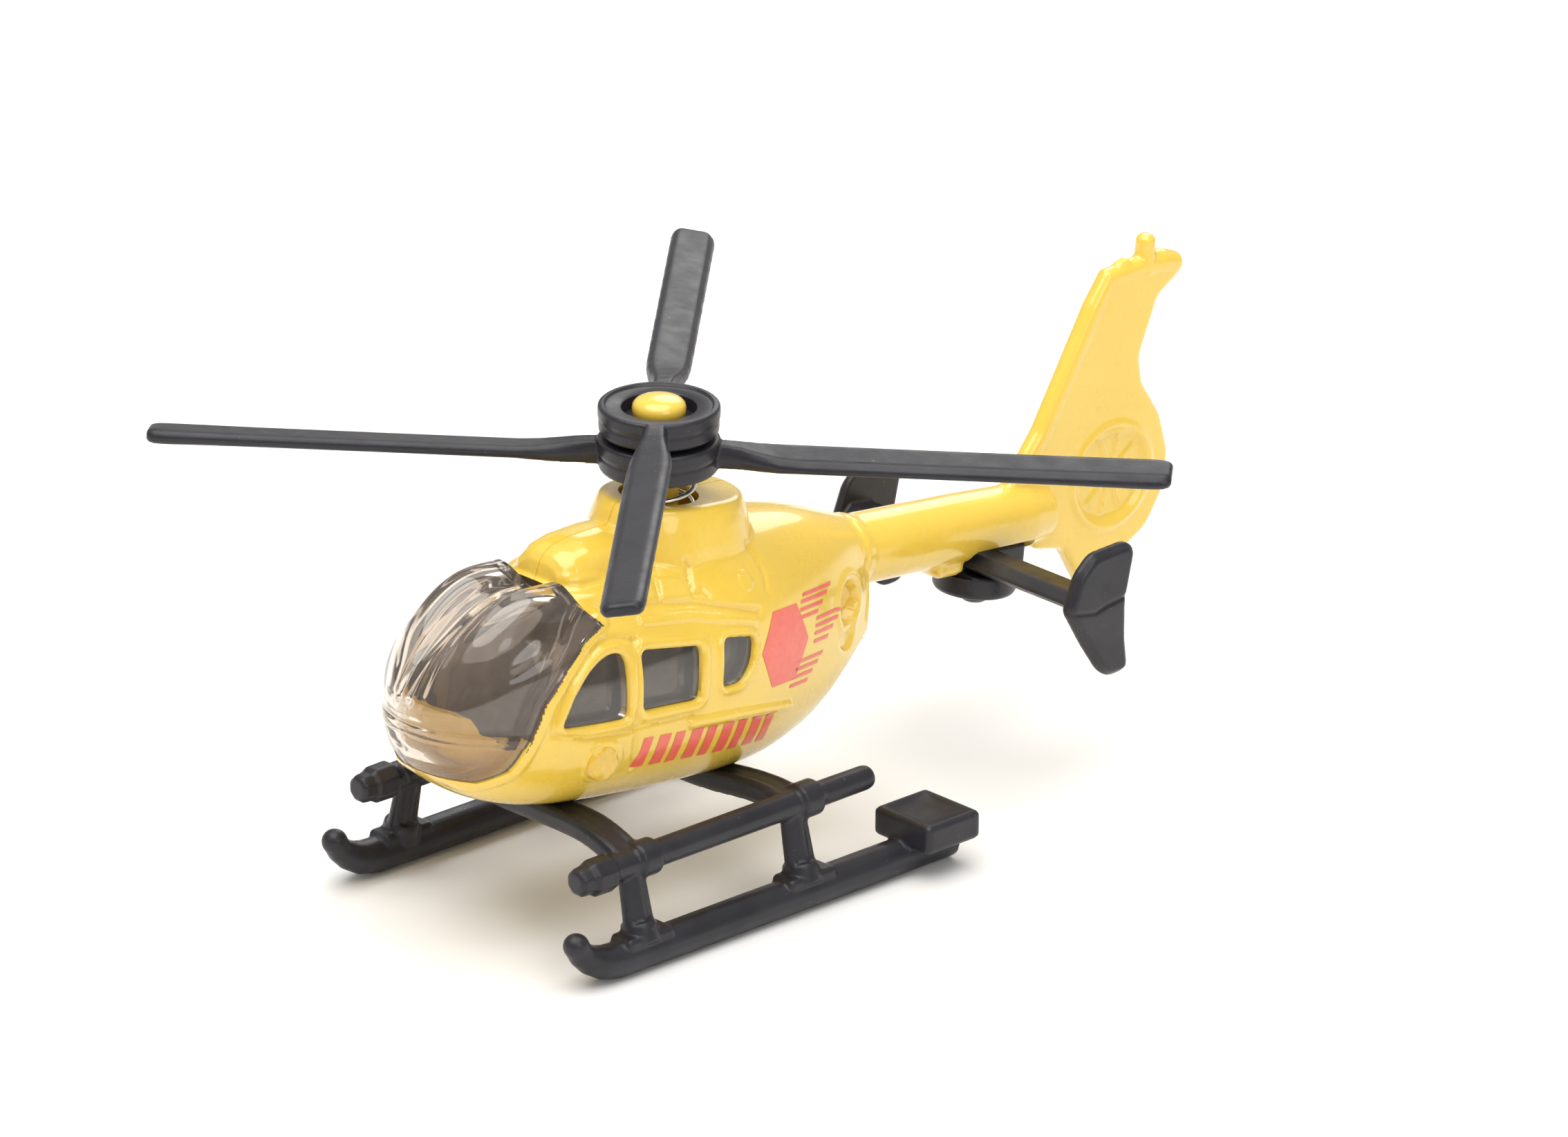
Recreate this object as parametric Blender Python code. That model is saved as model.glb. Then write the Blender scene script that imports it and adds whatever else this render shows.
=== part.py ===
"""A die-cast toy ambulance helicopter, 83 mm long, as the separate pieces it is assembled from.

Lengths are in millimetres and metres() turns them into Blender's units. The world frame has
+X to port (the helicopter's left), -Y towards the nose and Z up from the skids' undersides.
The fuselage is pitched nose up over the skids, so its pieces are drawn in the hull's own frame:
Y runs aft from the mast, Z runs up, and the hull_frame empty places them in the world.
"""

import math

import bmesh
import bpy
from mathutils import Matrix, Vector

MM = 0.001
GAP = 0.25

# The hull's frame and the rotor's axis.
MAST_Y = -12.94
HULL_PITCH = math.radians(6.3)
PITCH_HEIGHT = 18.0

# Hull: a lofted body of superellipse sections between the nose and the boom's root.
NOSE_Y = -25.4
TAIL_Y = 18.8
MID_Y = -9.0
HULL_HALF_WIDTH = 9.0
HULL_MID_Z = 16.4
HULL_POWER = 2.5
WALL = 1.15
GLASS = 1.6
NOSE_WALL = 2.9
HULL_STATIONS = 26
HULL_SIDES = 36

# Pairs are (Y, value), from nose to tail; the nose itself closes as a quarter ellipse.
ROOF_LINE = ((-25.4, 17.6), (-23.9, 20.6), (-21.3, 23.0), (-17.5, 24.9), (-13.0, 25.5),
             (-8.0, 26.9), (2.0, 27.7), (8.0, 27.5), (12.0, 26.9), (18.8, 25.0))
BELLY_LINE = ((-25.4, 16.4), (-24.6, 13.4), (-22.4, 11.0), (-18.5, 9.2), (-13.0, 8.4),
              (3.0, 8.3), (8.0, 8.9), (12.5, 10.7), (16.3, 14.2), (18.8, 18.6))
WIDTH_LINE = ((-9.0, 9.0), (-1.0, 8.9), (4.0, 8.3), (9.0, 7.1), (14.0, 5.5), (18.8, 3.3))

# Outlines in the hull's side view, as (Y, Z).
SCREEN_OUTLINE = ((-28.0, 12.0), (-24.0, 12.0), (-21.8, 12.2), (-20.4, 13.6), (-19.4, 16.2),
                  (-18.6, 18.4), (-17.4, 20.5), (-15.6, 22.5), (-13.4, 23.4), (-14.6, 28.5),
                  (-28.0, 28.5))
NOSE_WALL_TOP = 19.6
NOSE_WALL_REAR = -17.6
FRONT_WINDOW = ((-17.0, 16.6), (-15.9, 19.3), (-13.9, 21.2), (-12.3, 21.6), (-11.5, 21.0),
                (-11.1, 17.3), (-11.6, 16.7))
MIDDLE_WINDOW = ((-9.7, 17.2), (-9.2, 16.7), (-4.1, 16.7), (-3.6, 17.2), (-3.8, 20.7),
                 (-4.4, 21.2), (-9.3, 21.5), (-9.9, 21.0))
REAR_WINDOW = ((-1.9, 17.6), (-1.5, 17.1), (0.2, 17.1), (1.2, 18.2), (1.4, 20.3), (1.0, 20.8),
               (-1.4, 21.0), (-1.9, 20.5))
LINER_OUTLINE = ((-20.6, 19.9), (-17.3, 19.9), (-17.3, 15.6), (2.6, 15.6), (2.6, 22.2),
                 (-14.6, 22.2), (-17.0, 22.6), (-20.6, 22.6))
LINER_DEPTHS = (1.4, 2.3)

# Mast fairing, boom and fin.
FAIRING_Y = (-1.5, 1.4)
FAIRING_RINGS = ((24.0, 5.3), (27.0, 5.0), (29.5, 4.45), (29.9, 4.1))
ROOF_RIDGE = ((-12.9, 25.0), (-12.6, 27.1), (-11.8, 27.9), (-7.6, 28.5), (0.0, 28.7), (0.0, 25.0))
ROOF_RIDGE_X = 3.6
BOOM_Z = 22.2
BOOM_RADIUS = 2.75
BOOM_START_Y = 15.8
BOOM_END_Y = 40.0
FIN_OUTLINE = ((35.0, 20.6), (38.0, 20.6), (38.9, 19.0), (42.0, 18.6), (44.2, 15.8),
               (46.0, 13.4), (48.0, 13.4), (48.9, 17.9), (50.9, 19.4), (52.3, 22.0),
               (52.5, 25.2), (51.2, 28.4), (48.9, 31.2), (48.3, 33.4), (49.8, 38.3),
               (51.9, 39.8), (52.4, 40.6), (51.8, 41.2), (48.5, 41.0), (44.2, 40.7),
               (43.4, 39.4), (38.6, 28.4), (36.9, 25.6), (35.0, 24.6))
FIN_HALF_THICKNESS = 0.75
FAN_CENTRE = (46.3, 24.2)
FAN_RADIUS = 3.9
FAN_DEPTH = 0.35
PEG = (48.3, 43.1, 0.75)
CLIP_SLOT = (31.0, 37.6, 20.9)
LUG = (27.6, 30.6, 18.7)

# Rivets that close the two castings, as (Y, Z, shank radius, head radius).
FRONT_RIVET = (-13.1, 13.4, 1.2, 1.5)
REAR_RIVET = (15.6, 19.4, 0.9, 1.2)

# Rotor, in the world frame.
MAST_RADIUS = 1.5
MAST_HEAD_RADIUS = 1.95
MAST_TOP_Z = 37.6
HUB_RADIUS = 4.55
HUB_BORE = 1.6
HEAD_BORE = 2.6
LOWER_HUB_Z = (31.9, 34.5)
UPPER_HUB_Z = (34.8, 37.1)
HEAD_SEAT_Z = 35.9
ROTOR_RADIUS = 38.0
BLADE_CHORD = 3.4
BLADE_THICKNESS = 0.95
BLADE_PITCH = math.radians(8.6)
LOWER_BLADE_ANGLE = math.radians(41.3)
UPPER_BLADE_ANGLE = math.radians(-47.2)
SPRING_MEAN_RADIUS = 2.6
SPRING_WIRE = 0.22
SPRING_Z = (28.3, 31.3)
SPRING_TURNS = 3.5

# Landing gear, in the world frame, with Y from the mast.
RUNNER_X = 13.2
RUNNER_RADIUS = 1.4
RUNNER_END_Y = 17.6
BAR_X = 11.9
BAR_Z = 8.0
BAR_RADIUS = 1.05
BAR_FRONT_Y = -19.3
BAR_REAR_Y = 10.6
FRONT_LEG_Y = -13.9
REAR_LEG_Y = 2.5
PAW_X = (10.5, 16.5)
PAW_Y = (12.3, 17.8)
PAW_Z = (2.3, 4.6)
# Each cross tube is (Y, ((X, Z), ...)), from the middle outwards.
CROSS_TUBES = ((FRONT_LEG_Y, ((0.0, 9.0), (5.0, 9.2), (8.0, 9.6), (10.5, 8.9), (12.3, 8.0))),
               (REAR_LEG_Y, ((0.0, 7.4), (4.0, 7.5), (7.5, 8.0), (10.2, 8.2), (12.3, 8.0))))

# Stabiliser, in the hull's frame.
STAB_HALF_SPAN = 13.2
STAB_BAR_Y = (30.6, 34.2)
STAB_BAR_Z = (19.0, 20.4)
STAB_DISC = (33.2, 17.2, 19.1, 3.1)
STAB_PLATE_THICKNESS = 1.0
STAB_PLATE = ((30.1, 19.2), (30.9, 22.0), (32.3, 23.5), (35.9, 24.0), (36.8, 23.5),
              (36.4, 19.2), (37.7, 14.0), (37.3, 13.4), (35.7, 13.2), (34.7, 13.8))


def metres(x, y, z):
    return Vector((x, y, z)) * MM


def clear_scene():
    for thing in list(bpy.data.objects):
        bpy.data.objects.remove(thing, do_unlink=True)


def material(name, colour, roughness, metallic=0.0, transmission=0.0):
    made = bpy.data.materials.new(name)
    made.use_nodes = True
    shader = made.node_tree.nodes["Principled BSDF"]
    shader.inputs["Base Color"].default_value = (*colour, 1.0)
    shader.inputs["Roughness"].default_value = roughness
    shader.inputs["Metallic"].default_value = metallic
    shader.inputs["Transmission Weight"].default_value = transmission
    made.diffuse_color = (*colour, 1.0)
    return made


def add_object(name, mesh):
    made = bpy.data.objects.new(name, mesh)
    bpy.context.scene.collection.objects.link(made)
    return made


def mesh_from(bm, name):
    bmesh.ops.recalc_face_normals(bm, faces=bm.faces[:])
    mesh = bpy.data.meshes.new(name)
    bm.to_mesh(mesh)
    bm.free()
    return mesh


def solid_from_rings(name, rings):
    """A closed solid through rings of points, each ring in order round the solid."""
    bm = bmesh.new()
    loops = [[bm.verts.new(metres(*point)) for point in ring] for ring in rings]
    for first, second in zip(loops, loops[1:]):
        for i, vert in enumerate(first):
            following = (i + 1) % len(first)
            bm.faces.new((vert, first[following], second[following], second[i]))
    bm.faces.new(list(reversed(loops[0])))
    bm.faces.new(loops[-1])
    return add_object(name, mesh_from(bm, name))


def prism(name, outline, low, high, axis="X"):
    """An outline of two coordinates, extruded along the third axis between low and high."""
    def place(point, depth):
        return (depth, *point) if axis == "X" else (*point, depth)
    return solid_from_rings(name, [[place(p, depth) for p in outline] for depth in (low, high)])


def box(name, low, high):
    (x0, y0, z0), (x1, y1, z1) = low, high
    return prism(name, ((x0, y0), (x1, y0), (x1, y1), (x0, y1)), z0, z1, axis="Z")


def circle(centre, radius, count):
    steps = (math.tau * (i + 0.5) / count for i in range(count))
    return [(centre[0] + radius * math.cos(a), centre[1] + radius * math.sin(a)) for a in steps]


def oval(ys, radius, count=40):
    """Two half circles of one radius about the points (0, y), joined by straight sides."""
    low, high = ys
    return [(x, y + (high if y > 0 else low)) for x, y in circle((0.0, 0.0), radius, count)]


def turned(name, profile, centre=(0.0, 0.0), count=32):
    """A solid of revolution about a vertical line; profile pairs are (z, radius), upwards."""
    rings = [[(*point, z) for point in circle(centre, radius, count)] for z, radius in profile]
    return solid_from_rings(name, rings)


def cross_pin(name, centre, profile, count=20):
    """A solid of revolution about a line along X; profile pairs are (x, radius)."""
    rings = [[(x, *point) for point in circle(centre, radius, count)] for x, radius in profile]
    return solid_from_rings(name, rings)


def combine(base, tool, operation):
    """base joined with, cut by or limited to tool, which is used up."""
    bpy.context.view_layer.update()
    modifier = base.modifiers.new(operation.lower(), "BOOLEAN")
    modifier.operation = operation
    modifier.solver = "EXACT"
    modifier.object = tool
    graph = bpy.context.evaluated_depsgraph_get()
    mesh = bpy.data.meshes.new_from_object(base.evaluated_get(graph))
    base.modifiers.clear()
    base.data = mesh
    bpy.data.objects.remove(tool, do_unlink=True)
    return base


def unite(base, *tools):
    for tool in tools:
        combine(base, tool, "UNION")
    return base


def cut(base, *tools):
    for tool in tools:
        combine(base, tool, "DIFFERENCE")
    return base


def finish(name, thing, look, parent=None):
    thing.name = name
    thing.data.name = name
    thing.data.materials.clear()
    thing.data.materials.append(look)
    thing.data.shade_smooth()
    thing.data.set_sharp_from_angle(angle=math.radians(35))
    thing.parent = parent
    return thing


def along(line, y):
    """The value at y of a smooth curve through (y, value) pairs."""
    if y <= line[0][0]:
        return line[0][1]
    if y >= line[-1][0]:
        return line[-1][1]
    i = next(k for k in range(len(line) - 1) if y <= line[k + 1][0])

    def slope(k):
        if k in (0, len(line) - 1):
            near = 1 if k == 0 else k
            return (line[near][1] - line[near - 1][1]) / (line[near][0] - line[near - 1][0])
        return (line[k + 1][1] - line[k - 1][1]) / (line[k + 1][0] - line[k - 1][0])

    (y0, a), (y1, b) = line[i], line[i + 1]
    step = y1 - y0
    t = (y - y0) / step
    return ((2 * t**3 - 3 * t**2 + 1) * a + (t**3 - 2 * t**2 + t) * step * slope(i)
            + (3 * t**2 - 2 * t**3) * b + (t**3 - t**2) * step * slope(i + 1))


def half_width(y):
    if y >= MID_Y:
        return along(WIDTH_LINE, y)
    return HULL_HALF_WIDTH * math.sqrt(max(0.0, 1 - ((MID_Y - y) / (MID_Y - NOSE_Y)) ** 2.15))


def hull_section(y, depth):
    """The ring of the hull's surface at y, moved inwards by depth."""
    length = MID_Y - NOSE_Y
    stretched = MID_Y + (y - MID_Y) * length / (length - depth) if y < MID_Y else y
    width = half_width(stretched) * (1 - depth / HULL_HALF_WIDTH)
    rise = (along(ROOF_LINE, stretched) - HULL_MID_Z) * (1 - depth / 10.4)
    drop = (HULL_MID_Z - along(BELLY_LINE, stretched)) * (1 - depth / 8.0)
    ring = []
    for i in range(HULL_SIDES):
        angle = math.tau * i / HULL_SIDES
        across, up = math.cos(angle), math.sin(angle)
        x = width * math.copysign(abs(across) ** (2 / HULL_POWER), across)
        z = math.copysign(abs(up) ** (2 / HULL_POWER), up)
        ring.append((x, y, HULL_MID_Z + z * (rise if up > 0 else drop)))
    return ring


def hull_solid(name, depth, end_y=TAIL_Y):
    start = NOSE_Y + depth
    ease = [1 - math.cos(math.pi / 2 * k / (HULL_STATIONS - 1)) for k in range(HULL_STATIONS)]
    ys = [start + 0.02 + (end_y - start - 0.02) * e for e in ease]
    return solid_from_rings(name, [hull_section(y, depth) for y in ys])


def grown(outline, margin):
    """An outline with each corner moved outwards by margin, square to its two edges."""
    area = sum(a[0] * b[1] - b[0] * a[1] for a, b in zip(outline, outline[1:] + outline[:1]))
    side = 1 if area > 0 else -1
    moved = []
    for before, here, after in zip(outline[-1:] + outline[:-1], outline, outline[1:] + outline[:1]):
        one = Vector((here[1] - before[1], before[0] - here[0])).normalized() * side
        two = Vector((after[1] - here[1], here[0] - after[0])).normalized() * side
        step = (one + two) / (1 + one.dot(two)) * margin
        moved.append((here[0] + step.x, here[1] + step.y))
    return tuple(moved)


def cylinder_between(name, start, end, radius, count=16, end_radius=None):
    start, end = Vector(start), Vector(end)
    turn = (end - start).to_track_quat("Z", "Y")
    rings = []
    for centre, size in ((start, radius), (end, radius if end_radius is None else end_radius)):
        rings.append([tuple(centre + turn @ Vector((*p, 0.0))) for p in circle((0, 0), size, count)])
    return solid_from_rings(name, rings)


def hull_frame():
    frame = bpy.data.objects.new("hull_frame", None)
    bpy.context.scene.collection.objects.link(frame)
    back = MAST_Y - PITCH_HEIGHT * math.sin(HULL_PITCH)
    frame.location = metres(0.0, back, PITCH_HEIGHT * (1 - math.cos(HULL_PITCH)))
    frame.rotation_euler = (-HULL_PITCH, 0.0, 0.0)
    return frame


def in_hull_frame(thing):
    """Moves a solid drawn in the world's frame into the hull's."""
    turn = Matrix.Rotation(-HULL_PITCH, 4, "X")
    back = MAST_Y - PITCH_HEIGHT * math.sin(HULL_PITCH)
    place = Matrix.Translation(metres(0.0, back, PITCH_HEIGHT * (1 - math.cos(HULL_PITCH)))) @ turn
    thing.data.transform(place.inverted())
    return thing


def screen_cutter(margin):
    return prism("screen_cutter", grown(SCREEN_OUTLINE, margin), -12.0, 12.0)


def casting():
    """Both halves of the painted casting as one solid, before they are parted."""
    body = hull_solid("casting", 0.0)
    unite(body, mast_fairing(), boom_and_fin())
    cavity = cut(hull_solid("cavity", WALL, end_y=12.0),
                 box("thick_nose", (-12, -30, 4), (12, NOSE_WALL_REAR, NOSE_WALL_TOP)))
    cut(body, cavity, hull_solid("nose_cavity", NOSE_WALL, end_y=8.0))
    recess = screen_cutter(GAP)
    cut(recess, combine(hull_solid("nose_core", GLASS + GAP, end_y=10.0),
                        box("under_screen", (-12, -30, 4), (12, 0, NOSE_WALL_TOP)), "INTERSECT"))
    cut(body, recess)
    for window in (FRONT_WINDOW, MIDDLE_WINDOW, REAR_WINDOW):
        cut(body, prism("window", window, -12.0, 12.0))
    cut(body, *belly_notches(GAP), *rivet_holes(), mast_hole())
    return body


def mast_fairing():
    """The oval collar round the mast, and the flat ridge that runs forward from it."""
    fairing = solid_from_rings("fairing", [[(*p, z) for p in oval(FAIRING_Y, radius)]
                                           for z, radius in FAIRING_RINGS])
    inset = ROOF_RIDGE_X - 0.8
    ridge = solid_from_rings("ridge", [
        [(x, y, min(z, top)) for y, z in ROOF_RIDGE]
        for x, top in ((-ROOF_RIDGE_X, 27.3), (-inset, 30.0), (inset, 30.0), (ROOF_RIDGE_X, 27.3))])
    return unite(fairing, ridge)


def boom_and_fin():
    boom = cylinder_between("boom", (0, BOOM_START_Y, BOOM_Z), (0, BOOM_END_Y, BOOM_Z), BOOM_RADIUS)
    fin = prism("fin", FIN_OUTLINE, -FIN_HALF_THICKNESS, FIN_HALF_THICKNESS)
    y, top, radius = PEG
    peg = turned("peg", ((40.0, radius), (top - 0.3, radius), (top, radius * 0.6)), (0.0, y), 12)
    front, rear, low = LUG
    lug = box("lug", (-1.9, front, low), (1.9, rear, BOOM_Z))
    unite(boom, fin, peg, lug)
    slot_front, slot_rear, slot_top = CLIP_SLOT
    cut(boom, box("slot", (-4, slot_front, 10), (4, slot_rear, slot_top)))
    for side in (-1, 1):
        inner = side * (FIN_HALF_THICKNESS - FAN_DEPTH)
        cut(boom, cross_pin("fan", FAN_CENTRE, sorted(((inner, FAN_RADIUS), (side * 4, FAN_RADIUS))),
                            28))
    return boom


def rivet_holes():
    holes = []
    for y, z, shank, head in (FRONT_RIVET, REAR_RIVET):
        reach = half_width(y)
        holes.append(cross_pin("rivet_hole", (y, z), ((-12, shank + GAP), (12, shank + GAP))))
        holes.append(cross_pin("rivet_seat", (y, z), ((reach - 1.0, head + GAP), (12, head + GAP))))
    return holes


def rivet(name, place, look, frame):
    """A shank through both castings, spun over into a low head on the port side."""
    y, z, shank, head = place
    reach = half_width(y)
    profile = ((1.6 - reach, shank), (reach - 0.7, shank), (reach - 0.7, head),
               (reach - 0.35, head), (reach - 0.15, head * 0.7))
    return finish(name, cross_pin(name, (y, z), profile), look, frame)


def mast_hole():
    hole = turned("mast_hole", ((20.0, MAST_RADIUS + 1.6), (26.2, MAST_RADIUS + 1.6),
                                (26.2001, MAST_RADIUS + GAP), (28.0, MAST_RADIUS + GAP),
                                (28.0001, 3.0), (40.0, 3.0)), (0.0, MAST_Y), 28)
    return in_hull_frame(hole)


def half_casting(name, side, look, frame):
    """The port half stops at the boom's root; the starboard half carries the boom and fin."""
    half = casting()
    joint = 0.06 * side
    if side > 0:
        cut(half, box("split", (-14, -40, 0), (joint, 70, 60)),
            box("boom_cut", (-14, TAIL_Y - 0.4, 0), (14, 70, 60)))
    else:
        cut(half, box("split", (joint, -40, 0), (14, TAIL_Y - 0.3, 60)))
    return finish(name, half, look, frame)


def cabin_glazing(look, frame):
    """The windscreen dome and the two side panes, moulded as one clear piece."""
    dome = combine(hull_solid("cabin_glazing", 0.0), screen_cutter(0.0), "INTERSECT")
    cut(dome, hull_solid("dome_core", GLASS, end_y=0.0))
    liner = combine(hull_solid("liner", LINER_DEPTHS[0], end_y=8.0),
                    prism("liner_zone", LINER_OUTLINE, -12.0, 12.0), "INTERSECT")
    cut(liner, hull_solid("liner_core", LINER_DEPTHS[1], end_y=9.0))
    return finish("cabin_glazing", unite(dome, liner), look, frame)


def runner(side, clearance):
    """A skid tube with a flat underside and an upturned toe."""
    x = RUNNER_X * side
    path = ((-20.5, 3.9), (-19.9, 2.8), (-18.9, 2.0), (-17.5, 1.5), (-15.8, 1.4),
            (RUNNER_END_Y, 1.4))
    radii = (0.6, 1.0, 1.3, 1.4, 1.4, 1.4)
    rings = []
    for i, ((y, z), radius) in enumerate(zip(path, radii)):
        before, after = path[max(i - 1, 0)], path[min(i + 1, len(path) - 1)]
        tilt = math.atan2(after[1] - before[1], after[0] - before[0])
        ring = []
        for a, b in circle((0, 0), (radius + clearance) / math.cos(math.pi / 12), 12):
            b = max(b, -radius)
            ring.append((x + a, MAST_Y + y - b * math.sin(tilt), z + b * math.cos(tilt)))
        rings.append(ring)
    return solid_from_rings("runner", rings)


def cross_tube(y, heights, clearance):
    """A flattened tube from skid to skid that passes under the belly."""
    half, thick = 1.35 + clearance, 0.85 + clearance
    right = [(x, along(heights, x)) for x in (0.0, 4.0, 7.0, 9.0, 10.8, 12.3)]
    path = [(-x, z) for x, z in reversed(right[1:])] + right
    rings = []
    for i, (x, z) in enumerate(path):
        before, after = path[max(i - 1, 0)], path[min(i + 1, len(path) - 1)]
        tilt = math.atan2(after[1] - before[1], after[0] - before[0])
        outline = ((-half, -thick * 0.5), (-half * 0.7, -thick), (half * 0.7, -thick),
                   (half, -thick * 0.5), (half, thick * 0.5), (half * 0.7, thick),
                   (-half * 0.7, thick), (-half, thick * 0.5))
        rings.append([(x - b * math.sin(tilt), MAST_Y + y + a, z + b * math.cos(tilt))
                      for a, b in outline])
    return solid_from_rings("cross_tube", rings)


def belly_notches(clearance):
    """The cross tubes' shapes in the hull's frame, for the notches that the hull has for them."""
    return [in_hull_frame(cross_tube(y, heights, clearance)) for y, heights in CROSS_TUBES]


def landing_gear(look):
    gear = runner(1, 0.0)
    unite(gear, *(cross_tube(y, heights, 0.0) for y, heights in CROSS_TUBES), runner(-1, 0.0))
    for side in (-1, 1):
        unite(gear, *skid_frame(side))
    return finish("landing_gear", gear, look)


def skid_frame(side):
    """The bar, the legs with their shoes, and the snow pad of one side."""
    x = BAR_X * side
    def at(y):
        return MAST_Y + y
    bar = cylinder_between("bar", (x, at(BAR_FRONT_Y + 3), BAR_Z), (x, at(BAR_REAR_Y), BAR_Z),
                           BAR_RADIUS, 14)
    cap = cylinder_between("cap", (x, at(BAR_FRONT_Y), BAR_Z - 0.1),
                           (x, at(BAR_FRONT_Y + 4.0), BAR_Z - 0.1), BAR_RADIUS + 0.4, 8)
    pieces = [bar, cap]
    for leg_y in (FRONT_LEG_Y, REAR_LEG_Y):
        sleeve = cylinder_between("sleeve", (x, at(leg_y + 0.2), BAR_Z), (x, at(leg_y + 2.7), BAR_Z),
                                  BAR_RADIUS + 0.4, 12)
        foot = (RUNNER_X * side, at(leg_y), 2.0)
        leg = cylinder_between("leg", (x, at(leg_y), BAR_Z), foot, 0.95, 10, 1.25)
        knee = foot[0] + (x - foot[0]) * 0.28
        collar = cylinder_between("collar", (knee, at(leg_y), 3.6), (foot[0], at(leg_y), 2.2),
                                  1.45, 10)
        shoe = box("shoe", (min(foot[0] - 1.2, foot[0] + 1.2), at(leg_y - 2.6), 1.6),
                   (max(foot[0] - 1.2, foot[0] + 1.2), at(leg_y + 2.9), 2.95))
        pieces += [sleeve, leg, collar, shoe]
    low_x, high_x = sorted((PAW_X[0] * side, PAW_X[1] * side))
    pieces.append(box("paw", (low_x, at(PAW_Y[0]), PAW_Z[0]), (high_x, at(PAW_Y[1]), PAW_Z[1])))
    return pieces


def blade(angle, height):
    """One blade: a narrow root that flares to its full chord, pitched, with bevelled edges."""
    stations = ((3.4, 2.0, 1.5, 0.0), (6.0, 1.8, 1.4, 0.2), (8.0, 2.7, 1.2, 0.7),
                (10.5, BLADE_CHORD, BLADE_THICKNESS, 1.0), (37.0, BLADE_CHORD, BLADE_THICKNESS, 1.0),
                (37.7, 3.0, 0.85, 1.0), (ROTOR_RADIUS, 2.3, 0.6, 1.0))
    turn = Matrix.Rotation(angle, 3, "Z")
    rings = []
    for radius, chord, thickness, twist in stations:
        c, t = chord / 2, thickness / 2
        roll = Matrix.Rotation(BLADE_PITCH * twist, 3, "X")
        outline = ((-c, -t * 0.3), (-c * 0.8, -t), (c * 0.8, -t), (c, -t * 0.3), (c, t * 0.3),
                   (c * 0.8, t), (-c * 0.8, t), (-c, t * 0.3))
        ring = []
        for a, b in outline:
            point = turn @ (Vector((radius, 0.0, 0.0)) + roll @ Vector((0.0, a, b)))
            ring.append((point.x, MAST_Y + point.y, height + point.z))
        rings.append(ring)
    return solid_from_rings("blade", rings)


def rotor(name, hub_z, angle, blade_z, look):
    """A hub ring with two opposite blades, free to turn about the mast."""
    low, high = hub_z
    profile = ((low, HUB_RADIUS - 0.25), (low + 0.25, HUB_RADIUS), (high - 0.25, HUB_RADIUS),
               (high, HUB_RADIUS - 0.25))
    hub = turned(name, profile, (0.0, MAST_Y), 40)
    unite(hub, blade(angle, blade_z), blade(angle + math.pi, blade_z))
    cut(hub, turned("bore", ((20.0, HUB_BORE), (45.0, HUB_BORE)), (0.0, MAST_Y), 28))
    if high > HEAD_SEAT_Z:
        cut(hub, turned("seat", ((HEAD_SEAT_Z, HEAD_BORE), (45.0, HEAD_BORE)), (0.0, MAST_Y), 28))
    return finish(name, hub, look)


def rotor_mast(look):
    """The pin that both rotor rings turn on: a flange under the roof and a domed head."""
    head_z = HEAD_SEAT_Z + 0.2
    profile = ((23.6, 2.7), (24.8, 2.7), (24.8001, MAST_RADIUS), (head_z, MAST_RADIUS),
               (head_z + 0.0001, MAST_HEAD_RADIUS), (MAST_TOP_Z - 0.5, MAST_HEAD_RADIUS),
               (MAST_TOP_Z - 0.15, MAST_HEAD_RADIUS * 0.75), (MAST_TOP_Z, MAST_HEAD_RADIUS * 0.35))
    return finish("rotor_mast", turned("rotor_mast", profile, (0.0, MAST_Y), 28), look)


def mast_spring(look):
    """A coil of round wire under the lower ring, which keeps light friction on both rings."""
    low, high = SPRING_Z
    count = 70
    rings = []
    for i in range(count + 1):
        turn = math.tau * SPRING_TURNS * i / count
        height = low + SPRING_WIRE + (high - low - 2 * SPRING_WIRE) * i / count
        ring = []
        for a, b in circle((0, 0), SPRING_WIRE, 6):
            reach = SPRING_MEAN_RADIUS + a
            ring.append((reach * math.cos(turn), MAST_Y + reach * math.sin(turn), height + b))
        rings.append(ring)
    return finish("mast_spring", solid_from_rings("mast_spring", rings), look)


def tail_stabilizer(look, frame):
    """The tailplane: a bar with two end plates, and a disc that clips under the boom."""
    front, rear = STAB_BAR_Y
    low, high = STAB_BAR_Z
    mid = (low + high) / 2
    wing = ((front, mid), (front + 0.8, low), (rear - 0.4, low + 0.2), (rear, mid),
            (rear - 0.4, high), (front + 0.8, high))
    piece = prism("tail_stabilizer", wing, -STAB_HALF_SPAN, STAB_HALF_SPAN)
    y, disc_low, disc_high, radius = STAB_DISC
    dome = ((disc_low - 0.8, 0.6), (disc_low - 0.5, 1.1), (disc_low + 0.2, 1.3))
    unite(piece,
          turned("disc", ((disc_low, radius - 0.2), (disc_low + 0.3, radius), (disc_high, radius)),
                 (0.0, y), 28),
          turned("dome", dome, (0.0, y), 16),
          box("tab", (-1.4, 33.0, 18.6), (1.4, 37.2, CLIP_SLOT[2] - GAP)))
    cut(piece, box("lug_room", (-2.2, 20.0, LUG[2] - GAP), (2.2, CLIP_SLOT[0] + GAP, 30.0)))
    for side in (-1, 1):
        ends = sorted((side * (STAB_HALF_SPAN - STAB_PLATE_THICKNESS), side * STAB_HALF_SPAN))
        unite(piece, prism("plate", STAB_PLATE, *ends))
    return finish("tail_stabilizer", piece, look, frame)


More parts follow.
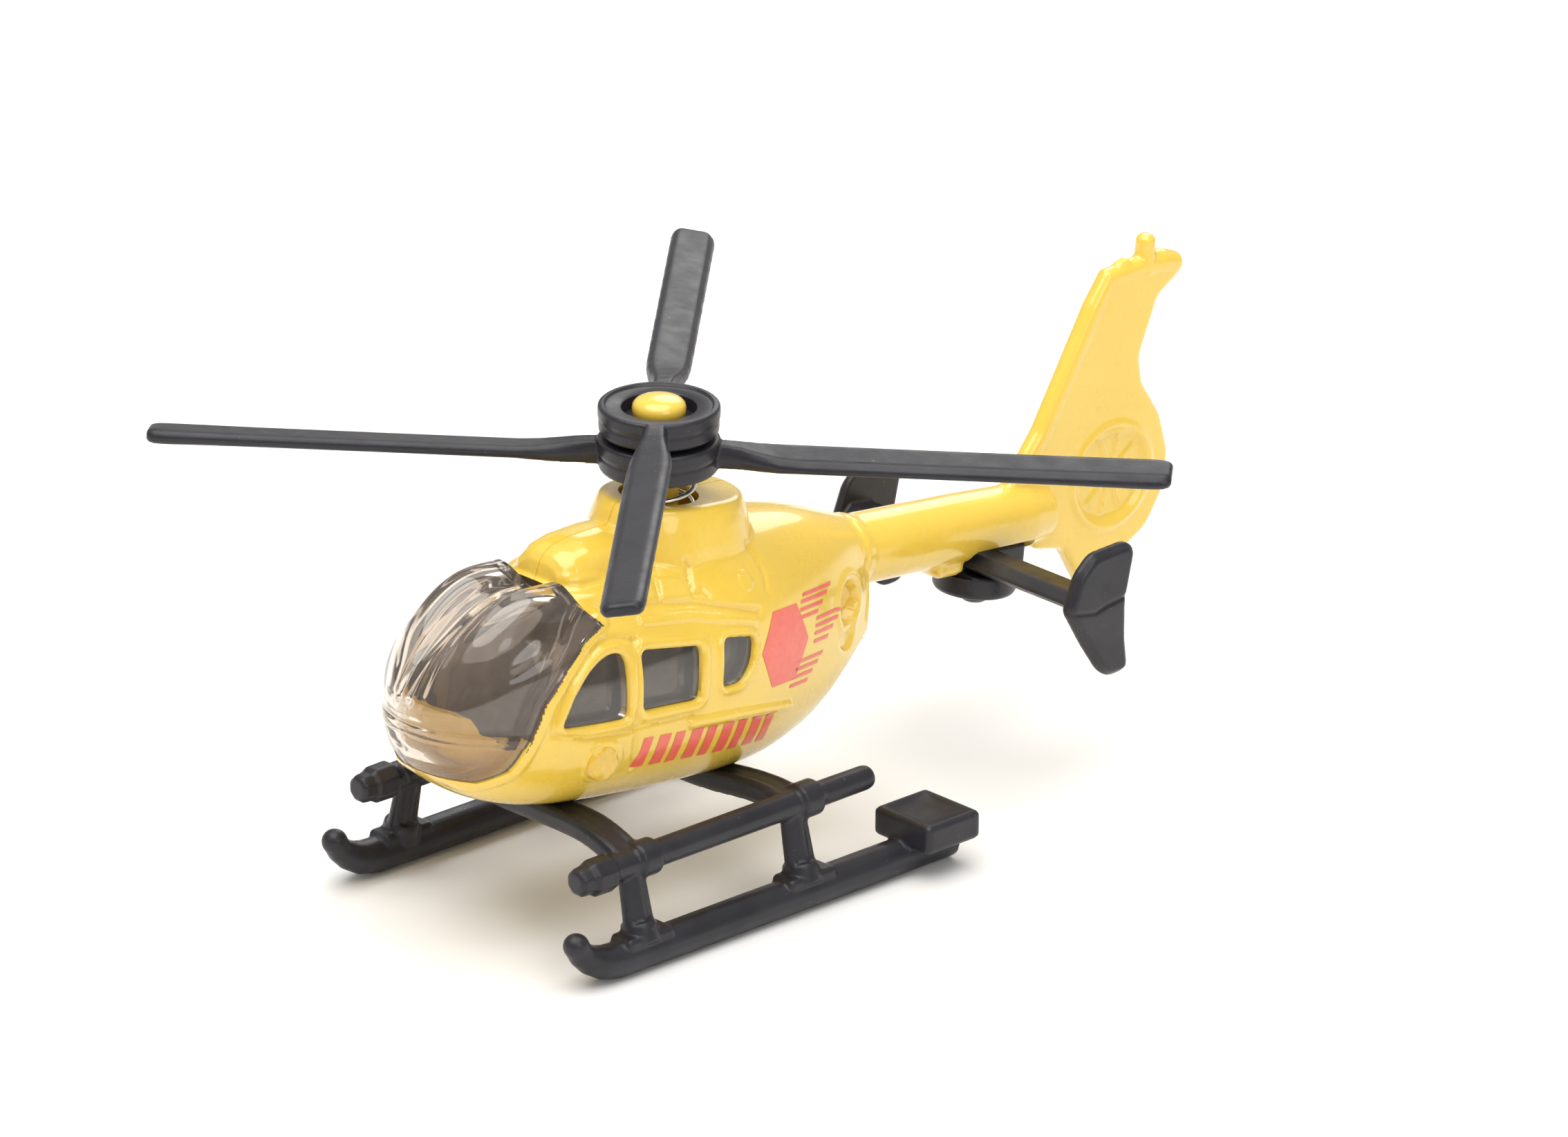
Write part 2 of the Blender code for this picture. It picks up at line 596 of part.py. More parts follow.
def build():
    clear_scene()
    enamel = material("yellow_enamel", (0.93, 0.60, 0.05), 0.25)
    black = material("black_plastic", (0.03, 0.03, 0.035), 0.5)
    smoke = material("smoke_clear", (0.45, 0.36, 0.28), 0.05, transmission=0.9)
    steel = material("spring_steel", (0.6, 0.58, 0.55), 0.3, metallic=1.0)
    frame = hull_frame()
    bpy.context.view_layer.update()
    half_casting("body_left_half", 1, enamel, frame)
    half_casting("body_right_half", -1, enamel, frame)
    cabin_glazing(smoke, frame)
    rivet("front_rivet", FRONT_RIVET, enamel, frame)
    rivet("rear_rivet", REAR_RIVET, enamel, frame)
    landing_gear(black)
    rotor("lower_rotor", LOWER_HUB_Z, LOWER_BLADE_ANGLE, 33.1, black)
    rotor("upper_rotor", UPPER_HUB_Z, UPPER_BLADE_ANGLE, 36.0, black)
    rotor_mast(enamel)
    mast_spring(steel)
    tail_stabilizer(black, frame)


build()
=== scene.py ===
"""Looks for the die-cast toy helicopter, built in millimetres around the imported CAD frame."""

import math

import bmesh
import bpy
import numpy as np
from mathutils import Matrix, Vector
from mathutils.bvhtree import BVHTree
from mathutils.geometry import delaunay_2d_cdt


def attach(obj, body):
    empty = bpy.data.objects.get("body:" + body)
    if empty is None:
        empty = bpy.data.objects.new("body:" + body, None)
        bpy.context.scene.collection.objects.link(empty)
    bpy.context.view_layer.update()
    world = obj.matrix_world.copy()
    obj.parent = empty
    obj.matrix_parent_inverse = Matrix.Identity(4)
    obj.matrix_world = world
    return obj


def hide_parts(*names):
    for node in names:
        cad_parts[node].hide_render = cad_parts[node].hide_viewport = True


MM = 0.001
MAST_Y = -12.94
MAST_AT = (0.0, MAST_Y)
HULL_PITCH = math.radians(6.3)
PITCH_HEIGHT = 18.0
WORLD = Matrix.Scale(MM, 4)
HULL = (WORLD @ Matrix.Translation((0.0, MAST_Y - PITCH_HEIGHT * math.sin(HULL_PITCH),
                                    PITCH_HEIGHT * (1 - math.cos(HULL_PITCH))))
        @ Matrix.Rotation(-HULL_PITCH, 4, "X"))

# The hull's lines, in its own frame: Y aft of the mast, Z up.
NOSE_Y = -25.4
TAIL_Y = 18.8
MID_Y = -9.0
HULL_HALF_WIDTH = 9.0
HULL_MID_Z = 16.4
HULL_ROOF_DEPTH = 10.4
HULL_BELLY_DEPTH = 8.0
HULL_POWER = 2.5
ROOF_LINE = ((-25.4, 17.6), (-23.9, 20.6), (-21.3, 23.0), (-17.5, 24.9), (-13.0, 25.2),
             (-8.0, 26.2), (0.0, 27.2), (6.0, 27.4), (12.0, 26.9), (18.8, 25.0))
BELLY_LINE = ((-25.4, 16.4), (-24.6, 13.4), (-22.4, 11.0), (-18.5, 9.2), (-13.0, 8.4),
              (3.0, 8.3), (8.0, 8.9), (12.5, 10.7), (16.3, 14.2), (18.8, 18.6))
WIDTH_LINE = ((-9.0, 9.0), (-1.0, 8.9), (4.0, 8.3), (9.0, 7.1), (14.0, 5.5), (18.8, 3.3))
SCREEN = ((-28.0, 12.0), (-24.0, 12.0), (-21.8, 12.0), (-20.3, 13.2), (-19.4, 15.6),
          (-18.5, 18.4), (-16.7, 20.8), (-14.8, 22.5), (-12.6, 23.4), (-13.4, 24.3),
          (-13.7, 25.2), (-14.6, 28.5), (-28.0, 28.5))
NOSE_BLOCK = ((-30.0, 4.0), (-17.4, 4.0), (-17.4, 14.5), (-20.0, 14.8), (-21.2, 15.5),
              (-21.9, 16.8), (-30.0, 17.2))
MIDDLE_WEB = ((-20.8, 7.0), (-20.8, 15.5), (-21.6, 16.4), (-21.6, 19.3), (-20.1, 20.9),
              (-17.5, 22.2), (-14.0, 22.9), (-12.4, 23.6), (-12.0, 30.0), (14.0, 30.0),
              (14.0, 7.0))

# Wall depths, gaps and rounding.
WALL = 1.15
SCREEN_STEP = 1.85
NOSE_WALL = 2.9
SEAT_GAP = 0.07
WINDOW_ROUND = 0.7
SCREEN_ROUND = 0.5
WIDE = 13.0
WINDOWS = (((-17.0, 16.3), (-16.1, 18.7), (-14.9, 20.3), (-13.5, 21.25), (-12.1, 21.6),
            (-11.25, 21.1), (-11.1, 16.5)),
           ((-9.8, 16.85), (-3.95, 16.8), (-3.9, 20.95), (-9.85, 21.45)),
           ((-1.7, 17.3), (0.5, 17.35), (1.55, 18.7), (1.8, 20.7), (-1.6, 21.15)))
FAIRING_Y = (-1.5, 1.4)
BOOM_Z = 22.2
FIN = ((35.0, 20.6), (38.0, 20.6), (38.9, 19.3), (42.0, 18.9), (44.0, 16.2),
       (46.0, 13.4), (48.0, 13.4), (48.7, 17.9), (50.9, 19.4), (52.3, 22.0),
       (52.5, 25.2), (51.2, 28.4), (48.9, 31.2), (48.3, 33.4), (49.7, 38.0),
       (51.9, 39.6), (52.3, 40.4), (51.5, 41.0), (48.5, 40.9), (45.3, 40.6),
       (44.0, 39.8), (42.9, 37.6), (38.6, 28.4), (36.9, 25.6), (35.0, 24.6))
FAN = (46.3, 24.2)
FAN_RADIUS = 4.1


def along(line, y):
    """A smooth curve through (y, value) pairs, at each y."""
    knots = np.array(line, float)
    ys, values = knots[:, 0], knots[:, 1]
    steps = np.diff(ys)
    slopes = np.empty(len(ys))
    slopes[1:-1] = (values[2:] - values[:-2]) / (ys[2:] - ys[:-2])
    slopes[0] = (values[1] - values[0]) / steps[0]
    slopes[-1] = (values[-1] - values[-2]) / steps[-1]
    y = np.clip(y, ys[0], ys[-1])
    i = np.clip(np.searchsorted(ys, y) - 1, 0, len(steps) - 1)
    t = (y - ys[i]) / steps[i]
    return ((2 * t**3 - 3 * t**2 + 1) * values[i] + (t**3 - 2 * t**2 + t) * steps[i] * slopes[i]
            + (3 * t**2 - 2 * t**3) * values[i + 1] + (t**3 - t**2) * steps[i] * slopes[i + 1])


def half_width(y):
    """The hull's half width: a rounded nose, then the tapering line aft of the middle."""
    nose = HULL_HALF_WIDTH * np.sqrt(np.clip(
        1 - (np.clip(MID_Y - y, 0, None) / (MID_Y - NOSE_Y)) ** 2.15, 0, 1))
    return np.where(y >= MID_Y, along(WIDTH_LINE, y), nose)


def hull_solid(depth, end_y=TAIL_Y, stations=110, sides=128):
    """The hull's lofted surface moved inwards by depth, as (vertices, faces)."""
    start = NOSE_Y + depth + 0.02
    ys = start + (end_y - start) * (1 - np.cos(np.linspace(0, math.pi / 2, stations)))
    length = MID_Y - NOSE_Y
    stretched = np.where(ys < MID_Y, MID_Y + (ys - MID_Y) * length / (length - depth), ys)
    width = half_width(stretched) * (1 - depth / HULL_HALF_WIDTH)
    rise = (along(ROOF_LINE, stretched) - HULL_MID_Z) * (1 - depth / HULL_ROOF_DEPTH)
    drop = (HULL_MID_Z - along(BELLY_LINE, stretched)) * (1 - depth / HULL_BELLY_DEPTH)
    angle = np.arange(sides) * math.tau / sides
    across = np.sign(np.cos(angle)) * np.abs(np.cos(angle)) ** (2 / HULL_POWER)
    up = np.sign(np.sin(angle)) * np.abs(np.sin(angle)) ** (2 / HULL_POWER)
    x = width[:, None] * across
    z = HULL_MID_Z + np.where(up > 0, rise[:, None] * up, drop[:, None] * up)
    points = np.stack([x, np.broadcast_to(ys[:, None], x.shape), z], -1)
    return loft(points)


def loft(points):
    """A closed solid through rings of points, shaped (rings, sides, 3)."""
    rings, sides = points.shape[:2]
    index = np.arange(rings * sides).reshape(rings, sides)
    a, b = index[:-1], index[1:]
    quads = np.stack([a, np.roll(a, -1, 1), np.roll(b, -1, 1), b], -1).reshape(-1, 4)
    faces = [tuple(q) for q in quads.tolist()]
    faces.append(tuple(index[0][::-1].tolist()))
    faces.append(tuple(index[-1].tolist()))
    return points.reshape(-1, 3), faces


def prism(outline, low, high, axis=0):
    """An outline of two coordinates extruded between low and high along one axis."""
    flat = np.array(outline, float)
    rings = []
    for depth in (low, high):
        rings.append(np.insert(flat, axis, depth, axis=1))
    return loft(np.array(rings))


def tapered(outline, insets, axis=0):
    """An outline extruded through (depth, inset) pairs, each inset shrinking it evenly."""
    rings = [np.insert(grown(outline, -inset), axis, depth, axis=1) for depth, inset in insets]
    return loft(np.array(rings))


def rounded(outline, radius, steps=6):
    """An outline with each corner replaced by an arc that starts radius from it."""
    corners = [Vector(p) for p in outline]
    made = []
    for i, here in enumerate(corners):
        before, after = corners[i - 1], corners[(i + 1) % len(corners)]
        one, two = before - here, after - here
        start = here + one.normalized() * min(radius, one.length * 0.45)
        end = here + two.normalized() * min(radius, two.length * 0.45)
        for k in range(steps + 1):
            t = k / steps
            made.append(tuple(start * (1 - t) ** 2 + here * 2 * t * (1 - t) + end * t**2))
    return made


def grown(outline, margin):
    """An outline with each corner moved outwards by margin, square to its two edges."""
    flat = np.array(outline, float)
    after = np.roll(flat, -1, 0) - flat
    turn = np.stack([after[:, 1], -after[:, 0]], -1)
    turn /= np.linalg.norm(turn, axis=1, keepdims=True) + 1e-12
    if (flat[:, 0] * np.roll(flat[:, 1], -1) - np.roll(flat[:, 0], -1) * flat[:, 1]).sum() < 0:
        turn = -turn
    before = np.roll(turn, 1, 0)
    step = (turn + before) / (1 + (turn * before).sum(1, keepdims=True)).clip(0.3)
    return flat + step * margin


def ring(centre, radius, count=48):
    """The corners of a flat regular ring."""
    angle = (np.arange(count) + 0.5) * math.tau / count
    return np.stack([centre[0] + radius * np.cos(angle), centre[1] + radius * np.sin(angle)], -1)


def turned(profile, centre=(0.0, 0.0), axis=2, count=48):
    """A solid of revolution; profile pairs are (place along the axis, radius)."""
    rings = [np.insert(ring(centre, radius, count), axis, place, axis=1)
             for place, radius in profile]
    return loft(np.array(rings))


def tube(path, radii, count=24, squash=1.0):
    """A closed tube along a path of points, round or flattened."""
    path = np.array(path, float)
    ahead = np.gradient(path, axis=0)
    rings = []
    for point, direction, radius in zip(path, ahead, radii):
        turn = Vector(direction).to_track_quat("Z", "Y").to_matrix()
        flat = ring((0, 0), radius, count)
        across = np.c_[flat[:, 0], flat[:, 1] * squash, np.zeros(count)]
        rings.append(across @ np.array(turn).T + point)
    return loft(np.array(rings))


def block(low, high, bevel=0.2):
    """A box with its edges along Z bevelled, and a smaller bevel at top and bottom."""
    (x0, y0, z0), (x1, y1, z1) = low, high
    outline = rounded(((x0, y0), (x1, y0), (x1, y1), (x0, y1)), bevel * 1.6, 3)
    return tapered(outline, ((z0, bevel), (z0 + bevel, 0), (z1 - bevel, 0), (z1, bevel)), 2)


def linked(name, data):
    """A new object in the scene that shows a mesh, lamp or camera."""
    made = bpy.data.objects.new(name, data)
    bpy.context.scene.collection.objects.link(made)
    return made


def add(name, shape):
    """An object made of a shape's vertices and faces, with its faces turned outwards."""
    points, faces = shape
    mesh = bpy.data.meshes.new(name)
    mesh.from_pydata(np.asarray(points).tolist(), [], faces)
    bm = bmesh.new()
    bm.from_mesh(mesh)
    bmesh.ops.recalc_face_normals(bm, faces=bm.faces[:])
    bm.to_mesh(mesh)
    bm.free()
    return linked(name, mesh)


def applied(thing, drop=None):
    """thing with its modifiers applied; drop is a tool to delete afterwards."""
    graph = bpy.context.evaluated_depsgraph_get()
    mesh = bpy.data.meshes.new_from_object(thing.evaluated_get(graph))
    thing.modifiers.clear()
    thing.data = mesh
    if drop is not None:
        bpy.data.objects.remove(drop, do_unlink=True)
    return thing


def combine(base, tool, operation):
    """A boolean of base with tool, which is used up."""
    modifier = base.modifiers.new("combine", "BOOLEAN")
    modifier.operation = operation
    modifier.solver = "EXACT"
    modifier.object = tool
    return applied(base, tool)


def fused(name, shapes, voxel, smooth):
    """Overlapping closed shapes run into one skin, with their inner corners filleted."""
    points, faces, count = [], [], 0
    for shape in shapes:
        points.append(np.asarray(shape[0]))
        faces += [tuple(i + count for i in face) for face in shape[1]]
        count += len(shape[0])
    made = add(name, (np.concatenate(points), faces))
    modifier = made.modifiers.new("skin", "REMESH")
    modifier.mode = "VOXEL"
    modifier.voxel_size = voxel
    modifier.use_smooth_shade = True
    applied(made)
    relax(made.data, smooth)
    return made


def coordinates(mesh):
    flat = np.empty(len(mesh.vertices) * 3)
    mesh.vertices.foreach_get("co", flat)
    return flat.reshape(-1, 3)


def normals(mesh):
    flat = np.empty(len(mesh.vertices) * 3)
    mesh.vertex_normals.foreach_get("vector", flat)
    return flat.reshape(-1, 3)


def place(mesh, points):
    mesh.vertices.foreach_set("co", np.asarray(points, np.float32).reshape(-1))
    mesh.update()


def relax(mesh, rounds):
    """Smooths a mesh, with a push back out after each pull so that it keeps its size."""
    pull, push = 0.5, -0.52
    edges = np.empty(len(mesh.edges) * 2, np.int32)
    mesh.edges.foreach_get("vertices", edges)
    a, b = edges.reshape(-1, 2).T
    points = coordinates(mesh)
    count = np.bincount(np.r_[a, b], minlength=len(points))[:, None].clip(1)
    for step in range(rounds * 2):
        total = np.empty_like(points)
        for k in range(3):
            total[:, k] = (np.bincount(a, points[b, k], len(points))
                           + np.bincount(b, points[a, k], len(points)))
        weight = pull if step % 2 == 0 else push
        points = points + weight * (total / count - points)
    place(mesh, points)


def soft(low, high, value):
    """A smooth step from 0 at low to 1 at high."""
    t = np.clip((value - low) / (high - low), 0, 1)
    return t * t * (3 - 2 * t)


def line_gap(flat, line):
    """Distance of each 2-D point from a line of points."""
    best = np.full(len(flat), 1e9)
    for a, b in zip(np.array(line[:-1], float), np.array(line[1:], float)):
        t = np.clip(((flat - a) @ (b - a)) / max((b - a) @ (b - a), 1e-9), 0, 1)
        best = np.minimum(best, np.linalg.norm(flat - a - t[:, None] * (b - a), axis=1))
    return best


def outline_gap(flat, outline):
    """Signed distance from an outline: below zero inside it."""
    loop = list(map(tuple, outline))
    loop.append(loop[0])
    gap = line_gap(flat, loop)
    inside = np.zeros(len(flat), bool)
    for (y0, z0), (y1, z1) in zip(loop[:-1], loop[1:]):
        if z0 == z1:
            continue
        crosses = (flat[:, 1] < z0) != (flat[:, 1] < z1)
        inside ^= crosses & (flat[:, 0] < y0 + (flat[:, 1] - z0) * (y1 - y0) / (z1 - z0))
    return np.where(inside, -gap, gap)


# ---- the painted castings ----

def casting_shapes():
    """The hull, the mast's oval fairing, the roof panel, the boom and the fin."""
    # (height, radius) up the fairing.
    fairing = [(23.0, 5.9), (25.4, 5.45), (27.0, 5.15), (28.4, 4.8), (29.3, 4.5), (29.75, 4.25),
               (29.9, 3.95)]
    rings = []
    for z, radius in fairing:
        flat = ring((0, 0), radius, 72)
        flat[:, 1] += np.where(flat[:, 1] > 0, FAIRING_Y[1], FAIRING_Y[0])
        rings.append(np.insert(flat, 2, z, axis=1))
    shapes = [hull_solid(0.0), loft(np.array(rings)), roof_hump()]
    shapes.append(tube([(0, y, BOOM_Z) for y in (14.0, 18.6, 19.6, 30.0, 37.0, 39.6)],
                       (3.1, 3.0, 2.75, 2.7, 2.55, 2.1), 64))
    shapes += fin_shapes()
    return shapes


def roof_hump():
    """The raised roof panel that runs forward from the mast's fairing, with a rounded front."""
    rings = []
    angle = np.linspace(0, math.pi, 25)
    # (place along the roof, top's height, half width).
    for y, top, half in ((-13.2, 25.6, 1.4), (-13.0, 26.4, 2.3), (-12.6, 27.0, 2.9),
                         (-11.8, 27.5, 3.3), (-10.3, 27.9, 3.6), (-7.6, 28.2, 3.8),
                         (-3.0, 28.4, 4.0), (1.0, 28.4, 4.0)):
        across = half * np.sign(np.cos(angle)) * np.abs(np.cos(angle)) ** (2 / 3.2)
        up = 23.0 + (top - 23.0) * np.sin(angle) ** (2 / 3.2)
        arch = [(x, y, z) for x, z in zip(across, up)]
        rings.append([(half, y, 22.0)] + arch + [(-half, y, 22.0)])
    return loft(np.array(rings, float))


def fin_shapes():
    """The fin's plate with its thick leading edge and horn, the aerial peg and the boom's lug."""
    fin = rounded(FIN, 0.5, 3)
    shapes = [tapered(fin, ((-0.75, 0.35), (-0.5, 0.0), (0.5, 0.0), (0.75, 0.35)))]
    edge = ((36.2, 24.6), (38.8, 28.4), (43.2, 37.8), (44.4, 40.0), (48.0, 40.5), (50.0, 40.6),
            (51.3, 40.3))
    shapes.append(tube([(0, *p) for p in edge], (0.8, 0.85, 0.85, 0.8, 0.85, 1.0, 0.95), 20))
    shapes.append(ball((0, 51.3, 40.3), 0.95))
    shapes.append(tube([(0, 48.3, 40.0), (0, 48.3, 41.6), (0, 48.3, 42.6), (0, 48.3, 43.0)],
                       (0.95, 0.8, 0.78, 0.45), 20))
    shapes.append(tube([(0, 45.5, 40.6), (0, 46.5, 41.0)], (0.55, 0.5), 16))
    shapes.append(block((-1.75, 27.4, 18.9), (1.75, 30.4, BOOM_Z), 0.45))
    shapes.append(tube([(0, 36.2, 21.2), (0, 38.4, 21.2)], (1.7, 1.5), 24))
    return shapes


def side_relief(points):
    """How far the casting's sides stand out from the plain hull, for the raised frames,
    door gaps and panel lines, from each point's place in the side view."""
    flat = points[:, 1:]
    rise = np.zeros(len(flat))
    for outline, margin in zip(WINDOWS, (0.62, 0.75, 0.5)):
        gap = outline_gap(flat, rounded(outline, WINDOW_ROUND))
        rise += 0.23 * soft(-0.1, 0.12, gap) * (1 - soft(margin - 0.2, margin + 0.22, gap))
        rise -= 0.16 * (1 - soft(0.0, 0.3, gap))
    for line, depth, width in DOOR_GAPS:
        rise -= 1.45 * depth * np.exp(-(line_gap(flat, line) / width) ** 2)
    for line, height, width in RAILS:
        rise += 1.3 * height * (1 - soft(width * 0.55, width * 1.45, line_gap(flat, line)))
    for y, z, radius, height in BUTTONS:
        away = np.hypot(flat[:, 0] - y, flat[:, 1] - z)
        rise += height * (1 - soft(radius - 0.12, radius + 0.12, away))
    return rise


# (line, depth, width) for the gaps, (line, height, width) for the rails, and
# (y, z, radius, height) for the round bosses.
DOOR_GAPS = (
    (((-10.2, 22.3), (-10.45, 16.4), (-9.8, 12.3)), 0.16, 0.24),
    (((-10.2, 22.2), (-11.8, 22.5), (-13.3, 22.3), (-14.7, 21.6), (-16.3, 19.9), (-17.4, 17.7),
      (-17.7, 16.0), (-14.8, 15.5), (-10.4, 15.5)), 0.13, 0.22),
    (((-10.2, 15.7), (-4.6, 15.9)), 0.10, 0.2),
    (((-13.2, 24.6), (-11.6, 24.3), (-8.2, 24.2), (-3.8, 23.85), (-0.2, 23.0), (2.6, 22.3)),
     0.20, 0.28),
    (((-5.2, 26.4), (-6.0, 25.6), (-6.7, 24.4)), 0.14, 0.2),
    (((-2.9, 26.4), (-2.7, 25.9), (-3.2, 25.2), (-3.5, 24.4), (-2.9, 24.3), (-2.5, 24.5),
      (-2.1, 24.0)), 0.15, 0.17),
    (((3.3, 27.0), (3.9, 26.1), (4.1, 24.6), (3.9, 23.6)), 0.13, 0.22),
    (((18.0, 26.0), (18.3, 24.0), (18.5, 21.0), (18.2, 18.0)), 0.10, 0.25),
)
RAILS = (
    (((-12.2, 23.6), (-14.3, 22.3), (-16.2, 20.7), (-17.95, 18.5), (-18.95, 15.6), (-19.9, 12.9),
      (-21.6, 11.5), (-24.0, 11.3)), 0.16, 0.42),
    (((-9.0, 23.25), (-4.5, 23.05), (0.3, 22.2), (1.8, 21.8)), 0.14, 0.28),
    (((-4.6, 15.15), (0.0, 15.0), (4.0, 14.65), (6.7, 14.25)), 0.24, 0.36),
    (((-12.6, 25.3), (-8.2, 25.1), (-4.4, 24.8)), 0.10, 0.7),
)
BUTTONS = ((1.9, 24.5, 0.66, 0.14), (-13.0, 13.4, 1.75, 0.2))


def shape_relief(mesh):
    """Moves the castings' skin in and out for all their cast detail."""
    points, facing = coordinates(mesh), normals(mesh)
    sideways = soft(0.12, 0.4, np.abs(facing[:, 0])) * (points[:, 1] < 19.4)
    on_hull = sideways * (np.abs(points[:, 0]) > 0.8)
    clear = 1 - (soft(26.4, 27.0, points[:, 2]))
    rise = side_relief(points) * on_hull * clear
    rise += tail_relief(points, facing)
    rise -= rivet_dish(points) * on_hull
    place(mesh, points + facing * rise[:, None])


def rivet_dish(points):
    """The round recess beside the boom's root, with a lower lobe."""
    away = np.hypot(points[:, 1] - 14.9, (points[:, 2] - 20.2) * 0.92)
    low = np.hypot(points[:, 1] - 14.8, (points[:, 2] - 17.9) * 0.9)
    dish = 1.1 * (1 - soft(1.15, 1.6, away)) + 0.35 * (1 - soft(0.9, 1.4, low))
    lip = 0.14 * np.exp(-((away - 1.95) / 0.3) ** 2)
    return np.where(points[:, 0] > 0, dish - lip, 0.6 * dish - lip)


def tail_relief(points, facing):
    """The fan's rim and spokes, and the step behind the fin's leading edge."""
    flat = points[:, 1:]
    on_fin = soft(0.6, 0.9, np.abs(facing[:, 0])) * (points[:, 1] > 40.5)
    away = np.hypot(flat[:, 0] - FAN[0], flat[:, 1] - FAN[1])
    angle = np.arctan2(flat[:, 1] - FAN[1], flat[:, 0] - FAN[0])
    rim = 0.22 * np.exp(-((away - FAN_RADIUS) / 0.32) ** 2)
    dish = 0.32 * (1 - soft(FAN_RADIUS - 0.9, FAN_RADIUS - 0.2, away))
    across = away * np.abs(np.sin((angle * 5 - math.pi / 2 * 0.4)) / 5)
    spokes = 0.20 * np.exp(-(across / 0.16) ** 2) * soft(1.0, 1.5, away)
    spokes *= 1 - soft(FAN_RADIUS - 1.1, FAN_RADIUS - 0.7, away)
    hub = 0.18 * (1 - soft(0.8, 1.1, away))
    return on_fin * (rim - dish + spokes + hub)


def hollow_shapes():
    """What is taken out of the castings: the cabin, the screen's seat and the holes."""
    seat = add("seat", prism(grown(SCREEN, SEAT_GAP), -WIDE, WIDE))
    core = add("core", hull_solid(SCREEN_STEP, 10.0, 60, 72))
    combine(core, add("low", prism(NOSE_BLOCK, -12.0, 12.0)), "INTERSECT")
    combine(seat, core, "DIFFERENCE")
    cabin = add("cabin", hull_solid(WALL, 12.0, 60, 72))
    combine(cabin, add("thick", prism(NOSE_BLOCK, -12.0, 12.0)), "DIFFERENCE")
    combine(seat, cabin, "UNION")
    nose = add("nose", hull_solid(NOSE_WALL, 8.0, 60, 72))
    combine(nose, add("deck", block((-9, -28, 6), (9, -21.0, 15.9), 0.3)), "DIFFERENCE")
    combine(seat, nose, "UNION")
    for outline in WINDOWS:
        flare = ((-WIDE, -0.12), (-6.5, 0.05), (6.5, 0.05), (WIDE, -0.12))
        combine(seat, add("window", tapered(rounded(outline, WINDOW_ROUND), flare)), "UNION")
    combine(seat, add("web", prism(MIDDLE_WEB, -0.5, 0.5)), "DIFFERENCE")
    tilt = HULL.inverted() @ WORLD
    bore = add("bore", turned(((24.0, 1.9), (27.5, 1.9), (27.6, 3.0), (36.0, 3.0)), MAST_AT))
    bore.data.transform(tilt)
    combine(seat, bore, "UNION")
    return seat


def castings(enamel, inside):
    """The two painted halves, cut from one skin."""
    body = fused("body", casting_shapes(), 0.16, 6)
    shape_relief(body.data)
    combine(body, add("clip_slot", block((-4, 30.6, 12), (4, 37.4, 20.9), 0.3)), "DIFFERENCE")
    combine(body, hollow_shapes(), "DIFFERENCE")
    body.data.materials.clear()
    body.data.materials.append(enamel)
    # The second slot is a dark brown painted shade for the cabin's inner walls and the screen's
    # jamb.
    body.data.materials.append(inside)
    return part_halves(body)


def part_halves(body):
    """Parts the casting along its centre seam, which is cut a little into the surface."""
    bm = bmesh.new()
    bm.from_mesh(body.data)
    whole = bm.verts[:] + bm.edges[:] + bm.faces[:]
    bmesh.ops.bisect_plane(bm, geom=whole, plane_co=(0, 0, 0), plane_no=(1, 0, 0), dist=0.004)
    bm.normal_update()
    for vert in bm.verts:
        if abs(vert.co.x) < 0.003 and vert.co.y < 19.2:
            vert.co -= vert.normal * 0.13
    # Faces deep in the cabin and on the screen's jamb take the second slot, which is painted
    # shade.
    dark = painted_shade_faces(np.array([tuple(face.calc_center_median()) for face in bm.faces]))
    for face, unlit in zip(bm.faces, dark.tolist()):
        face.material_index = int(unlit)
        face.smooth = True
    bm.to_mesh(body.data)
    bm.free()
    halves = []
    for name, keep in (("left_casting", True), ("right_casting", False)):
        half = bmesh.new()
        half.from_mesh(body.data)
        gone = [f for f in half.faces
                if (f.calc_center_median().x > 0 and f.calc_center_median().y < 18.5) != keep]
        bmesh.ops.delete(half, geom=gone, context="FACES")
        mesh = bpy.data.meshes.new(name)
        half.to_mesh(mesh)
        half.free()
        for slot in body.data.materials:
            mesh.materials.append(slot)
        mesh.set_sharp_from_angle(angle=math.radians(48))
        mesh.transform(HULL)
        halves.append(linked(name, mesh))
    bpy.data.objects.remove(body, do_unlink=True)
    return halves


def painted_shade_faces(middles):
    """True for the faces of the cabin's unlit inner walls and of the screen's jamb, which lie
    behind the yellow nose; these faces take the dark painted-shade material."""
    x, y, z = middles.T
    rise, drop = along(ROOF_LINE, y) - HULL_MID_Z, HULL_MID_Z - along(BELLY_LINE, y)
    up = (z - HULL_MID_Z) / np.where(z > HULL_MID_Z, rise, drop).clip(0.1)
    depth = (np.abs(x) / half_width(y).clip(0.1)) ** HULL_POWER + np.abs(up) ** HULL_POWER
    jamb = (np.abs(outline_gap(middles[:, 1:], grown(SCREEN, SEAT_GAP))) < 0.03) & (z > 14.5)
    deep = depth < np.where(jamb, 1.5, 0.735)
    in_cabin = (y > -24.0) & (y < 12.2)
    return deep & in_cabin & (outline_gap(middles[:, 1:], NOSE_BLOCK) > 0.1)


# ---- clear cabin glazing ----

